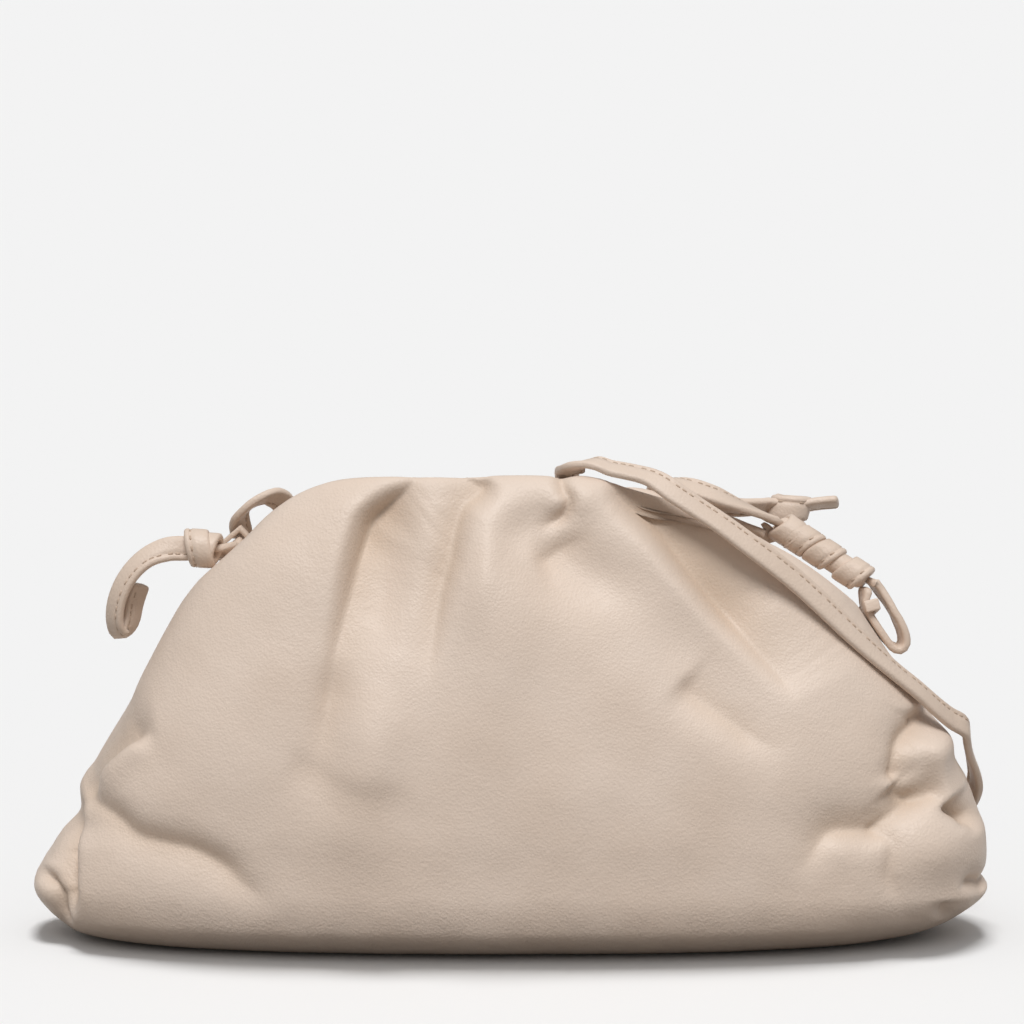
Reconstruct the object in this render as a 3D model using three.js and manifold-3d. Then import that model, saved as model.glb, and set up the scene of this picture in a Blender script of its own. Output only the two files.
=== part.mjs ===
// A soft leather pouch bag: a hollow gathered pouch that stands on its base, and a long narrow
// strap that is knotted to a ring at each end of the mouth. +X runs along the mouth, -Y is the
// front and +Z is up. The origin is the middle of the flat base, and sizes are in millimetres.

import * as THREE from "three";
import { mergeVertices } from "three/addons/utils/BufferGeometryUtils.js";
import Module from "manifold-3d";

// Driving sizes
const bagWidth = 235; // across the two lower corners
const bagHeight = 113; // floor to the crest of the lips
const bagDepth = 80; // front belly to back belly
const leather = 2; // wall of the pouch
const mouthGap = 7; // clear slit between the two lips
const strapWidth = 6.2;
const strapThickness = 2;
const keeperThickness = 1.2; // leather of the two small loops that the strap is tied to
const keeperWidth = 3;
const keeperRoom = 0.6; // round the strap inside a keeper
const clearance = 0.3; // between pieces that touch
const floorReach = 62; // how far the hidden strap lies out behind the pouch

// Fineness of the faceted pouch
const columnsFront = 50;
const columnsBack = 26;
const stepsOutside = 34;
const stepsInside = 12;

// Sections of the pouch, from the middle of the base up over the lip and down to the slit.
// left, right: shares of half the width. front, back: shares of half the depth.
// middle, leftEnd, rightEnd: heights along the section, shares of the height.
const sections = [
  { left: 0, right: 0, front: 0, back: 0, middle: 0, leftEnd: 0, rightEnd: 0 },
  { left: 0.79, right: 0.74, front: 0.6, back: 0.55, middle: 0, leftEnd: 0, rightEnd: 0 },
  { left: 0.92, right: 0.87, front: 0.8, back: 0.75, middle: 0.013, leftEnd: 0.015, rightEnd: 0.017 },
  { left: 0.98, right: 0.957, front: 0.96, back: 0.9, middle: 0.07, leftEnd: 0.058, rightEnd: 0.06 },
  { left: 1, right: 1, front: 1, back: 0.95, middle: 0.15, leftEnd: 0.108, rightEnd: 0.11 },
  { left: 0.975, right: 0.996, front: 1, back: 0.96, middle: 0.243, leftEnd: 0.183, rightEnd: 0.183 },
  { left: 0.94, right: 0.983, front: 0.975, back: 0.94, middle: 0.348, leftEnd: 0.278, rightEnd: 0.278 },
  { left: 0.877, right: 0.928, front: 0.925, back: 0.89, middle: 0.47, leftEnd: 0.39, rightEnd: 0.39 },
  { left: 0.8, right: 0.86, front: 0.825, back: 0.8, middle: 0.61, leftEnd: 0.52, rightEnd: 0.52 },
  { left: 0.728, right: 0.787, front: 0.713, back: 0.7, middle: 0.748, leftEnd: 0.652, rightEnd: 0.62 },
  { left: 0.647, right: 0.745, front: 0.588, back: 0.6, middle: 0.87, leftEnd: 0.774, rightEnd: 0.685 },
  { left: 0.585, right: 0.72, front: 0.45, back: 0.475, middle: 0.957, leftEnd: 0.82, rightEnd: 0.725 },
  { left: 0.56, right: 0.7, front: 0.31, back: 0.33, middle: 1, leftEnd: 0.83, rightEnd: 0.74 },
  { left: 0.55, right: 0.69, front: 0.19, back: 0.2, middle: 0.985, leftEnd: 0.81, rightEnd: 0.73 },
  { left: 0.54, right: 0.68, front: 0, back: 0, middle: 0.92, leftEnd: 0.76, rightEnd: 0.7 },
];
const crestSection = 12;
const squareness = 2.5; // 2 is an ellipse, more is boxier
const archLeft = 6; // how late a section drops towards its left end
const archRight = 2.5;
const frontLipRise = 0.02; // shares of the height: the front lip stands higher than the back one
const backLipFall = 0.012;
const lipsPartFrom = 8; // the section from which they differ

// Grooves and ridges of the leather. x runs from -1 at the left corner to 1 at the right one and z
// from 0 at the base to 1 at the crest, at the path's start, middle and end. rise, leftWidth and
// rightWidth are shares of the depth, left and right being the sides of someone who looks down.
// fadeIn and fadeOut are the shares of the path over which the rise comes and goes.
const folds = [
  {
    side: -1, x1: -0.17, z1: 1.05, x2: -0.31, z2: 0.87, x3: -0.381, z3: 0.483,
    rise: -0.085, leftWidth: 0.05, rightWidth: 0.11, fadeIn: 0.1, fadeOut: 0.6,
  },
  {
    side: -1, x1: -0.34, z1: 0.62, x2: -0.385, z2: 0.459, x3: -0.4, z3: 0.36,
    rise: -0.035, leftWidth: 0.06, rightWidth: 0.07, fadeIn: 0.4, fadeOut: 0.4,
  },
  {
    side: -1, x1: -0.05, z1: 1.03, x2: -0.132, z2: 0.85, x3: -0.198, z3: 0.578,
    rise: -0.05, leftWidth: 0.09, rightWidth: 0.035, fadeIn: 0.1, fadeOut: 0.5,
  },
  {
    side: -1, x1: 0.1, z1: 1.05, x2: 0.117, z2: 0.976, x3: 0.077, z3: 0.928,
    rise: -0.045, leftWidth: 0.04, rightWidth: 0.035, fadeIn: 0.02, fadeOut: 0.4,
  },
  {
    side: -1, x1: 0.21, z1: 1.03, x2: 0.4, z2: 0.8, x3: 0.589, z3: 0.547,
    rise: -0.1, leftWidth: 0.055, rightWidth: 0.2, fadeIn: 0.3, fadeOut: 0.5,
  },
  {
    side: -1, x1: 0.364, z1: 0.586, x2: 0.475, z2: 0.503, x3: 0.586, z3: 0.448,
    rise: -0.035, leftWidth: 0.07, rightWidth: 0.07, fadeIn: 0.4, fadeOut: 0.4,
  },
  {
    side: -1, x1: -0.728, z1: 0.49, x2: -0.8, z2: 0.445, x3: -0.905, z3: 0.347,
    rise: -0.06, leftWidth: 0.08, rightWidth: 0.04, fadeIn: 0.4, fadeOut: 0.1,
  },
  {
    side: -1, x1: -0.895, z1: 0.331, x2: -0.7, z2: 0.25, x3: -0.469, z3: 0.105,
    rise: -0.045, leftWidth: 0.07, rightWidth: 0.05, fadeIn: 0.15, fadeOut: 0.4,
  },
  {
    side: -1, x1: 0.876, z1: 0.347, x2: 0.73, z2: 0.285, x3: 0.57, z3: 0.168,
    rise: -0.05, leftWidth: 0.09, rightWidth: 0.05, fadeIn: 0.15, fadeOut: 0.4,
  },
  {
    side: -1, x1: 0.844, z1: 0.492, x2: 0.8, z2: 0.43, x3: 0.795, z3: 0.366,
    rise: -0.05, leftWidth: 0.05, rightWidth: 0.05, fadeIn: 0.3, fadeOut: 0.3,
  },
  {
    side: 1, x1: -0.45, z1: 1.05, x2: -0.5, z2: 0.8, x3: -0.62, z3: 0.5,
    rise: -0.06, leftWidth: 0.08, rightWidth: 0.08, fadeIn: 0.02, fadeOut: 0.7,
  },
  {
    side: 1, x1: -0.12, z1: 1.05, x2: -0.16, z2: 0.85, x3: -0.24, z3: 0.55,
    rise: -0.07, leftWidth: 0.05, rightWidth: 0.1, fadeIn: 0.02, fadeOut: 0.7,
  },
  {
    side: 1, x1: 0.18, z1: 1.05, x2: 0.22, z2: 0.85, x3: 0.3, z3: 0.6,
    rise: -0.06, leftWidth: 0.09, rightWidth: 0.05, fadeIn: 0.02, fadeOut: 0.7,
  },
  {
    side: 1, x1: 0.42, z1: 0.98, x2: 0.52, z2: 0.75, x3: 0.66, z3: 0.5,
    rise: -0.06, leftWidth: 0.08, rightWidth: 0.08, fadeIn: 0.05, fadeOut: 0.7,
  },
];

// Broad hollows and swellings: centre as in the folds, radii and rise as shares of the depth,
// turn in degrees anticlockwise as seen from the front.
const swells = [
  { side: -1, x: 0.13, z: 0.83, along: 0.24, across: 0.12, turn: -15, rise: -0.055 },
  { side: -1, x: 0.04, z: 0.93, along: 0.12, across: 0.07, turn: 25, rise: -0.03 },
  { side: -1, x: 0.13, z: 0.985, along: 0.09, across: 0.05, turn: 0, rise: 0.03 },
  { side: -1, x: 0.4, z: 0.66, along: 0.2, across: 0.14, turn: -40, rise: -0.04 },
  { side: -1, x: -0.24, z: 0.84, along: 0.16, across: 0.09, turn: 80, rise: -0.03 },
  { side: -1, x: -0.02, z: 0.74, along: 0.3, across: 0.12, turn: 82, rise: 0.035 },
  { side: -1, x: -0.29, z: 0.45, along: 0.22, across: 0.1, turn: 80, rise: 0.035 },
  { side: -1, x: -0.56, z: 0.62, along: 0.5, across: 0.26, turn: 65, rise: 0.03 },
  { side: -1, x: 0.84, z: 0.41, along: 0.1, across: 0.08, turn: 0, rise: 0.03 },
  { side: -1, x: 0.88, z: 0.22, along: 0.12, across: 0.09, turn: 0, rise: 0.03 },
  { side: 0, x: -0.96, z: 0.265, along: 0.14, across: 0.05, turn: 0, rise: -0.03 },
  { side: 0, x: -0.94, z: 0.33, along: 0.1, across: 0.04, turn: 0, rise: 0.01 },
  { side: 1, x: 0, z: 0.45, along: 0.6, across: 0.35, turn: 0, rise: 0.03 },
];

// Monotone cubic through the sections' values of one column.
function sectionValue(key, u) {
  const value = (i) => sections[i][key];
  const rise = (i) => value(i + 1) - value(i);
  const last = sections.length - 1;
  const i = Math.min(Math.floor(u), last - 1);
  const slope = (j) => {
    if (j === 0) return rise(0);
    if (j === last) return rise(last - 1);
    const before = rise(j - 1);
    const after = rise(j);
    return before * after <= 0 ? 0 : (2 * before * after) / (before + after);
  };
  const t = u - i;
  const a = 2 * t ** 3 - 3 * t ** 2 + 1;
  const b = t ** 3 - 2 * t ** 2 + t;
  const c = 3 * t ** 2 - 2 * t ** 3;
  const d = t ** 3 - t ** 2;
  return a * value(i) + b * slope(i) + c * value(i + 1) + d * slope(i + 1);
}

const signedPower = (v, p) => Math.sign(v) * Math.abs(v) ** p;

// Point of the smooth pouch at a turn in degrees, with 0 at the right end and 270 in front, and at
// a height counted in sections.
function smoothPoint(turn, u) {
  const angle = THREE.MathUtils.degToRad(turn);
  const ex = signedPower(Math.cos(angle), 2 / squareness);
  const ey = signedPower(Math.sin(angle), 2 / squareness);
  const halfX = ((ex > 0 ? sectionValue("right", u) : sectionValue("left", u)) * bagWidth) / 2;
  const halfGap = mouthGap / 2;
  const reach = ey > 0 ? sectionValue("back", u) : sectionValue("front", u);
  const onLip = THREE.MathUtils.smoothstep(u, crestSection, sections.length - 1);
  const halfY = (reach * bagDepth) / 2 + halfGap * onLip;
  const end = ex > 0 ? sectionValue("rightEnd", u) : sectionValue("leftEnd", u);
  const drop = Math.abs(ex) ** (ex > 0 ? archRight : archLeft);
  const z = THREE.MathUtils.lerp(sectionValue("middle", u), end, drop);
  const lips = THREE.MathUtils.smoothstep(u, lipsPartFrom, crestSection);
  const apart = ey * (ey > 0 ? backLipFall : frontLipRise) * lips;
  return new THREE.Vector3(ex * halfX, ey * halfY, (z - apart) * bagHeight);
}

const differenceTurn = 0.5;
const differenceSection = 0.02;

// Outward normal of a surface given as a function of turn and section height.
function normalOf(point, turn, u) {
  const low = Math.max(u - differenceSection, 0.05);
  const high = Math.min(u + differenceSection, sections.length - 1);
  const around = point(turn + differenceTurn, u).sub(point(turn - differenceTurn, u));
  const up = point(turn, high).sub(point(turn, low));
  return around.cross(up).normalize();
}

// Signed distance, in millimetres, from a place on the face to a fold's path, and how far along.
const pathSteps = 14;
function nearestOnFold(fold, x, z) {
  const halfWidth = bagWidth / 2;
  const curve = new THREE.QuadraticBezierCurve(
    new THREE.Vector2(fold.x1 * halfWidth, fold.z1 * bagHeight),
    new THREE.Vector2(
      (2 * fold.x2 - (fold.x1 + fold.x3) / 2) * halfWidth,
      (2 * fold.z2 - (fold.z1 + fold.z3) / 2) * bagHeight,
    ),
    new THREE.Vector2(fold.x3 * halfWidth, fold.z3 * bagHeight),
  );
  let best = { distance: Infinity };
  for (let i = 0; i < pathSteps; i++) {
    const a = curve.getPoint(i / pathSteps);
    const b = curve.getPoint((i + 1) / pathSteps);
    const along = b.clone().sub(a);
    const off = new THREE.Vector2(x, z).sub(a);
    const share = THREE.MathUtils.clamp(off.dot(along) / along.lengthSq(), 0, 1);
    const away = off.clone().addScaledVector(along, -share);
    const distance = away.length();
    if (distance < Math.abs(best.distance)) {
      const side = along.x * off.y - along.y * off.x > 0 ? 1 : -1;
      best = { distance: side * distance, travelled: (i + share) / pathSteps };
    }
  }
  return best;
}

// How far the leather stands proud of the smooth pouch there, negative in a groove.
function leatherRelief(place, turn) {
  const facing = Math.sin(THREE.MathUtils.degToRad(turn));
  const weightOf = (side) => (side === 0 ? 1 : THREE.MathUtils.smoothstep(facing * side, -0.25, 0.2));
  let sum = 0;
  for (const fold of folds) {
    const weight = weightOf(fold.side);
    if (weight === 0) continue;
    const near = nearestOnFold(fold, place.x, place.z);
    const width = (near.distance > 0 ? fold.rightWidth : fold.leftWidth) * bagDepth;
    const shape = Math.exp(-((near.distance / width) ** 2));
    const start = THREE.MathUtils.smoothstep(near.travelled, 0, fold.fadeIn);
    const finish = 1 - THREE.MathUtils.smoothstep(near.travelled, 1 - fold.fadeOut, 1);
    sum += weight * fold.rise * bagDepth * shape * start * finish;
  }
  for (const swell of swells) {
    const weight = weightOf(swell.side);
    if (weight === 0) continue;
    const angle = THREE.MathUtils.degToRad(swell.turn);
    const dx = place.x - (swell.x * bagWidth) / 2;
    const dz = place.z - swell.z * bagHeight;
    const a = (dx * Math.cos(angle) + dz * Math.sin(angle)) / (swell.along * bagDepth);
    const b = (dz * Math.cos(angle) - dx * Math.sin(angle)) / (swell.across * bagDepth);
    sum += weight * swell.rise * bagDepth * Math.exp(-a * a - b * b);
  }
  return sum;
}

const baseSection = 1; // the base is flat up to here
const softSection = 3; // and the leather moves freely from here
const mouthStiffness = 0.12; // share of the relief that is left at the slit

// Which way a ridge rises: square to the leather, and away from the slit where the leather faces up.
const tipFrom = 7; // the section where this begins
const upwardShare = 0.3; // what is left at the crest of the way up
const outwardPush = 0.7;
function riseWay(turn, u) {
  const way = normalOf(smoothPoint, turn, u);
  const top = THREE.MathUtils.smoothstep(u, tipFrom, crestSection);
  way.y += Math.sin(THREE.MathUtils.degToRad(turn)) * outwardPush * top;
  way.z *= THREE.MathUtils.lerp(1, upwardShare, top);
  return way.normalize();
}

// Point of the pouch's outside with its folds.
function foldedPoint(turn, u) {
  const place = smoothPoint(turn, u);
  const low = THREE.MathUtils.smoothstep(u, baseSection, softSection);
  const high = 1 - (1 - mouthStiffness) * THREE.MathUtils.smoothstep(u, crestSection, sections.length - 1);
  const relief = leatherRelief(place, turn) * low * high;
  return place.addScaledVector(riseWay(turn, u), relief);
}

// A closed skin over rings of equally many points. Open ends are capped by fans.
function loft(rings, closesOnItself = false) {
  const count = rings[0].length;
  const positions = rings.flat();
  const triangles = [];
  const last = closesOnItself ? rings.length : rings.length - 1;
  for (let i = 0; i < last; i++) {
    const here = i * count;
    const next = ((i + 1) % rings.length) * count;
    for (let j = 0; j < count; j++) {
      const k = (j + 1) % count;
      triangles.push(here + j, here + k, next + k, here + j, next + k, next + j);
    }
  }
  if (!closesOnItself) {
    const middleOf = (ring) =>
      ring.reduce((sum, p) => sum.add(p), new THREE.Vector3()).divideScalar(count);
    const first = positions.push(middleOf(rings[0])) - 1;
    const end = positions.push(middleOf(rings.at(-1))) - 1;
    const top = (rings.length - 1) * count;
    for (let j = 0; j < count; j++) {
      const k = (j + 1) % count;
      triangles.push(first, k, j, end, top + j, top + k);
    }
  }
  const geometry = new THREE.BufferGeometry().setFromPoints(positions);
  geometry.setIndex(triangles);
  return geometry;
}

// The turns at which the pouch's skin has its points, closer together in front.
function pouchTurns() {
  const turns = [];
  for (let i = 0; i < columnsBack; i++) turns.push((180 * i) / columnsBack);
  for (let i = 0; i < columnsFront; i++) turns.push(180 + (180 * i) / columnsFront);
  return turns;
}

// The hollow pouch: up the outside, over the lip to the slit, and down inside the wall.
function pouchGeometry() {
  const turns = pouchTurns();
  const top = sections.length - 1;
  const rings = [];
  for (let i = 0; i <= stepsOutside; i++) {
    const u = baseSection + ((top - baseSection) * i) / stepsOutside;
    rings.push(turns.map((turn) => foldedPoint(turn, u)));
  }
  for (let i = 0; i <= stepsInside; i++) {
    const u = top - ((top - baseSection) * i) / stepsInside;
    rings.push(
      turns.map((turn) => foldedPoint(turn, u).addScaledVector(normalOf(foldedPoint, turn, u), -leather)),
    );
  }
  return loft(rings);
}

// A flat strap along frames of { at, along, face }, face being square to its flat side.
const edgeShare = 0.4; // of the thickness, over which the strap's edges are bevelled
function strapGeometry(frames, closesOnItself = false) {
  const w = strapWidth / 2;
  const t = strapThickness / 2;
  const edge = edgeShare * strapThickness;
  const outline = [[-w, 0], [-w + edge, -t], [w - edge, -t], [w, 0], [w - edge, t], [-w + edge, t]];
  const rings = frames.map(({ at, along, face }) => {
    const side = new THREE.Vector3().crossVectors(along, face).normalize();
    const out = new THREE.Vector3().crossVectors(side, along).normalize();
    return outline.map(([across, off]) =>
      at.clone().addScaledVector(side, -across).addScaledVector(out, off),
    );
  });
  return loft(rings, closesOnItself);
}

// Frames a millimetre apart on a smooth curve through points of { at, face }. The floor holds it up.
const fineStep = 1;
const lieHalf = strapThickness / 2 + clearance;
function framesThrough(points) {
  const path = new THREE.CatmullRomCurve3(points.map((p) => p.at), false, "centripetal");
  const faces = new THREE.CatmullRomCurve3(points.map((p) => p.face), false, "centripetal");
  path.arcLengthDivisions = 20 * points.length;
  const count = Math.round(path.getLength() / fineStep);
  const frames = [];
  for (let i = 0; i <= count; i++) {
    const t = path.getUtoTmapping(i / count);
    const at = path.getPoint(t);
    at.z = Math.max(at.z, lieHalf);
    frames.push({ at, along: path.getTangent(t), face: faces.getPoint(t).normalize() });
  }
  return frames;
}

// The frames that a faceted strap needs: more where it bends or twists.
const longestStep = 12;
const bendStep = THREE.MathUtils.degToRad(14);
function thinned(frames) {
  const kept = [frames[0]];
  let passed = 0;
  for (const frame of frames.slice(1)) {
    passed += fineStep;
    const last = kept.at(-1);
    const turned = Math.max(frame.along.angleTo(last.along), frame.face.angleTo(last.face));
    if (passed >= longestStep || turned > bendStep || frame === frames.at(-1)) {
      kept.push(frame);
      passed = 0;
    }
  }
  return kept;
}

// The point above the pouch at a turn and section, at a distance from its smooth outside.
function above({ turn, section }, distance) {
  const face = normalOf(smoothPoint, turn, section);
  return { at: smoothPoint(turn, section).addScaledVector(face, distance), face };
}

// Points of a strap that lies along the pouch through rows of { turn, section, lift, flip, tip }. The
// lift is counted in strap thicknesses from where the strap touches the leather. flip goes from 1,
// with the strap's face away from the pouch, to -1 behind a hairpin, whose outside lies at an angle of
// bendsTo from the way round the pouch. tip turns the face about the strap's own way, in degrees.
const turnUnit = 12; // degrees of turn that count as much as one section
const wayStep = 0.02; // sections, for the strap's way at a point
function alongPouch(rows, bendsTo = 0) {
  const places = rows.map((row) => new THREE.Vector3(row.turn / turnUnit, row.section, row.lift));
  const flips = rows.map((row) => new THREE.Vector3(row.flip ?? 1, row.tip ?? 0, 0));
  const path = new THREE.CatmullRomCurve3(places, false, "centripetal");
  const flipPath = new THREE.CatmullRomCurve3(flips, false, "catmullrom");
  const count = 2 * (rows.length - 1);
  const points = [];
  for (let i = 0; i <= count; i++) {
    const place = path.getPoint(i / count);
    const spot = { turn: place.x * turnUnit, section: place.y };
    const way = path.getTangent(i / count);
    const next = { turn: spot.turn + way.x * turnUnit * wayStep, section: spot.section + way.y * wayStep };
    const turns = flipPath.getPoint(i / count);
    const tip = THREE.MathUtils.degToRad(turns.y);
    const edge = (Math.sin(Math.abs(tip)) * strapWidth) / 2;
    const swell = Math.max(leatherRelief(smoothPoint(spot.turn, spot.section), spot.turn), 0);
    const { at, face } = above(spot, lieHalf + edge + swell + place.z * strapThickness);
    const ahead = smoothPoint(next.turn, next.section);
    const along = ahead.sub(smoothPoint(spot.turn, spot.section)).normalize();
    const round = smoothPoint(spot.turn + differenceTurn, spot.section)
      .sub(smoothPoint(spot.turn - differenceTurn, spot.section))
      .normalize()
      .applyAxisAngle(face, THREE.MathUtils.degToRad(bendsTo));
    const flip = THREE.MathUtils.clamp(turns.x, -1, 1);
    const turned = face.clone().multiplyScalar(flip).addScaledVector(round, Math.sqrt(1 - flip ** 2));
    points.push({ at, face: turned.applyAxisAngle(along, tip) });
  }
  return points;
}

// Points on the floor behind the pouch: x as a share of half the width, y in reaches behind it. A
// rise, in reaches too, is where the strap comes down to the floor or leaves it.
const faceTip = 8; // how fast the face tips back with the rise
function alongFloor(rows) {
  return rows.map(({ x, y, rise = 0 }) => ({
    at: new THREE.Vector3((x * bagWidth) / 2, bagDepth / 2 + y * floorReach, lieHalf + rise * floorReach),
    face: new THREE.Vector3(0, faceTip * rise, 1).normalize(),
  }));
}

// The strap's route, chosen by hand: from the left knot through its keeper, over the left shoulder,
// down the back and round on the floor, up again and over the mouth, down over the right shoulder
// and round the right end, round on the floor, and up the back to the sliding knot.
const strapRoute = [
  ...alongPouch([
    { turn: 171.6, section: 10.85, lift: 0.6 },
    { turn: 168.5, section: 10.8, lift: 0 },
    { turn: 163, section: 10.65, lift: 0 },
    { turn: 157, section: 10.4, lift: 0 },
    { turn: 152, section: 10.2, lift: 0 },
    { turn: 148.5, section: 10.12, lift: 0.4 },
    { turn: 149, section: 10.27, lift: 1.1 },
    { turn: 151, section: 10.5, lift: 1.8 },
    { turn: 152.5, section: 10.85, lift: 2.4 },
    { turn: 150.8, section: 11.35, lift: 2.4 },
    { turn: 145.5, section: 11.5, lift: 1.7 },
    { turn: 140.5, section: 11.05, lift: 0.9 },
    { turn: 135, section: 10.3, lift: 0.3 },
    { turn: 129, section: 9.4, lift: 0.1 },
    { turn: 122, section: 7.6, lift: 0 },
    { turn: 119, section: 6, lift: 0.1 },
    { turn: 118, section: 4.9, lift: 0.5 },
  ]),
  ...alongFloor([
    { x: -0.535, y: 0.07, rise: 0.12 },
    { x: -0.535, y: 0.17, rise: 0.025 },
    { x: -0.53, y: 0.32 },
    { x: -0.52, y: 0.5 },
    { x: -0.49, y: 0.75 },
    { x: -0.36, y: 1.03 },
    { x: -0.14, y: 1.06 },
    { x: 0.03, y: 0.8 },
    { x: 0.1, y: 0.5 },
    { x: 0.13, y: 0.32 },
    { x: 0.14, y: 0.17, rise: 0.025 },
    { x: 0.145, y: 0.07, rise: 0.12 },
  ]),
  ...alongPouch([
    { turn: 84.5, section: 4.9, lift: 0.5 },
    { turn: 84, section: 6, lift: 0.1 },
    { turn: 84, section: 7.6, lift: 0 },
    { turn: 84, section: 9.4, lift: 0 },
    { turn: 84, section: 11, lift: 0 },
    { turn: 84, section: 12.1, lift: 0.2 },
  ]),
  ...alongPouch([
    { turn: 277, section: 12.45, lift: 0.1, tip: 10 },
    { turn: 280, section: 12.15, lift: 0.3, tip: 25 },
    { turn: 284.3, section: 12.05, lift: 0.15, tip: 28 },
    { turn: 288.7, section: 11.95, lift: 0.1, tip: 25 },
    { turn: 292.7, section: 11.65, lift: 0.1, tip: 12 },
    { turn: 297.1, section: 11.38, lift: 0.1 },
    { turn: 306.7, section: 10.77, lift: 0 },
    { turn: 317.9, section: 10.23, lift: 0 },
    { turn: 329.9, section: 9.41, lift: 0 },
    { turn: 341.3, section: 8.5, lift: 0.2 },
    { turn: 350, section: 7.8, lift: 0.6, tip: 10 },
    { turn: 357, section: 7.35, lift: 0.9, tip: 18 },
    { turn: 363, section: 6.9, lift: 0.9, tip: 15 },
    { turn: 371, section: 6.2, lift: 0.7, tip: 5 },
    { turn: 380, section: 5.5, lift: 0.6 },
    { turn: 388, section: 4.8, lift: 0.8 },
  ]),
  ...alongFloor([
    { x: 0.965, y: -0.2, rise: 0.05 },
    { x: 0.985, y: -0.06, rise: 0.01 },
    { x: 1, y: 0.08 },
    { x: 1, y: 0.25 },
    { x: 0.93, y: 0.65 },
    { x: 0.79, y: 0.95 },
    { x: 0.58, y: 0.98 },
    { x: 0.42, y: 0.75 },
    { x: 0.37, y: 0.5 },
    { x: 0.345, y: 0.32 },
    { x: 0.34, y: 0.17, rise: 0.025 },
    { x: 0.34, y: 0.07, rise: 0.12 },
  ]),
  ...alongPouch([
    { turn: 72, section: 4.9, lift: 0.5 },
    { turn: 71, section: 6, lift: 0.1 },
    { turn: 70, section: 7.6, lift: 0 },
    { turn: 70, section: 9.4, lift: 0 },
    { turn: 70, section: 10.9, lift: 0.1 },
    { turn: 67.5, section: 11.9, lift: 0.7, tip: 10 },
    { turn: 62, section: 12.1, lift: 0.6, tip: 25 },
    { turn: 54, section: 11.85, lift: 0.6, tip: 25 },
    { turn: 46.3, section: 11.4, lift: 1.8, tip: 12 },
  ]),
];

// A loop of leather over the strap where the strap is tied to the pouch, round one of its frames.
// under is 1 where the strap's face points away from the pouch, and -1 where it points to it.
function keeperGeometry({ at, along, face }, under) {
  const up = face.clone().multiplyScalar(under);
  const side = new THREE.Vector3().crossVectors(up, along).normalize();
  const out = new THREE.Vector3().crossVectors(along, side);
  const x = strapWidth / 2 + keeperRoom;
  const y = strapThickness / 2 + keeperRoom;
  const outside = x + keeperThickness;
  const top = y + keeperThickness;
  const foot = -strapThickness / 2;
  const outline = [
    [-outside, foot], [-x, foot], [-x, y], [x, y], [x, foot], [outside, foot], [outside, top], [-outside, top],
  ];
  const shape = new THREE.Shape(outline.map(([across, high]) => new THREE.Vector2(across, high)));
  const geometry = new THREE.ExtrudeGeometry(shape, { depth: keeperWidth, bevelEnabled: false });
  geometry.translate(0, 0, -keeperWidth / 2);
  return geometry.applyMatrix4(new THREE.Matrix4().makeBasis(side, out, along).setPosition(at));
}

// One turn of the strap round an axis, as a closed band: deep and wide are its middle's radii along
// up and across it, and lean is how far it slants along the axis.
const windingSteps = 12;
function windingGeometry({ centre, axis, up, deep, wide, lean, slant }) {
  const across = new THREE.Vector3().crossVectors(axis, up).normalize();
  const upright = new THREE.Vector3().crossVectors(across, axis).normalize();
  const point = (angle) =>
    centre.clone()
      .addScaledVector(upright, deep * Math.cos(angle))
      .addScaledVector(across, wide * Math.sin(angle))
      .addScaledVector(axis, lean * Math.cos(angle - slant));
  const frames = [];
  for (let i = 0; i < windingSteps; i++) {
    const angle = (2 * Math.PI * i) / windingSteps;
    const small = Math.PI / windingSteps;
    const face = new THREE.Vector3()
      .addScaledVector(upright, Math.cos(angle) / deep)
      .addScaledVector(across, Math.sin(angle) / wide)
      .normalize();
    frames.push({ at: point(angle), along: point(angle + small).sub(point(angle - small)).normalize(), face });
  }
  return strapGeometry(frames, true);
}

// What the windings of a knot are drawn tight on: a barrel along an axis.
const coreSides = 10;
function coreGeometry({ centre, axis, deep, wide, up, length }) {
  const across = new THREE.Vector3().crossVectors(axis, up).normalize();
  const upright = new THREE.Vector3().crossVectors(across, axis).normalize();
  const geometry = new THREE.CylinderGeometry(1, 1, length, coreSides);
  geometry.scale(wide, 1, deep);
  return geometry.applyMatrix4(new THREE.Matrix4().makeBasis(across, axis, upright).setPosition(centre));
}

// Several closed pieces joined to one.
const wasm = await Module();
wasm.setup();
function fuse(geometries) {
  const solids = geometries.map((geometry) => {
    geometry.deleteAttribute("normal");
    geometry.deleteAttribute("uv");
    const merged = mergeVertices(geometry);
    return new wasm.Manifold(new wasm.Mesh({
      numProp: 3,
      vertProperties: new Float32Array(merged.attributes.position.array),
      triVerts: new Uint32Array(merged.index.array),
    }));
  });
  const mesh = solids.reduce((sum, solid) => sum.add(solid)).getMesh();
  const geometry = new THREE.BufferGeometry();
  geometry.setAttribute("position", new THREE.BufferAttribute(mesh.vertProperties, 3));
  geometry.setIndex(new THREE.BufferAttribute(mesh.triVerts, 1));
  return geometry;
}

// A knot: a core with windings, whose rows count in strap widths along the axis and in strap
// thicknesses for the radii, the lean and the core's excess over them.
function knotGeometry(centre, axis, up, windings, core) {
  const pieces = windings.map(({ along, deep, wide, lean, slant }) =>
    windingGeometry({
      centre: centre.clone().addScaledVector(axis, along * strapWidth),
      axis,
      up,
      deep: deep * strapThickness,
      wide: wide * strapThickness,
      lean: lean * strapThickness,
      slant: THREE.MathUtils.degToRad(slant),
    }),
  );
  pieces.push(
    coreGeometry({
      centre,
      axis,
      up,
      deep: core.deep * strapThickness,
      wide: core.wide * strapThickness,
      length: core.length * strapWidth,
    }),
  );
  return fuse(pieces);
}

const upward = new THREE.Vector3(0, 0, 1);
const forward = new THREE.Vector3(0, -1, 0);

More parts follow.
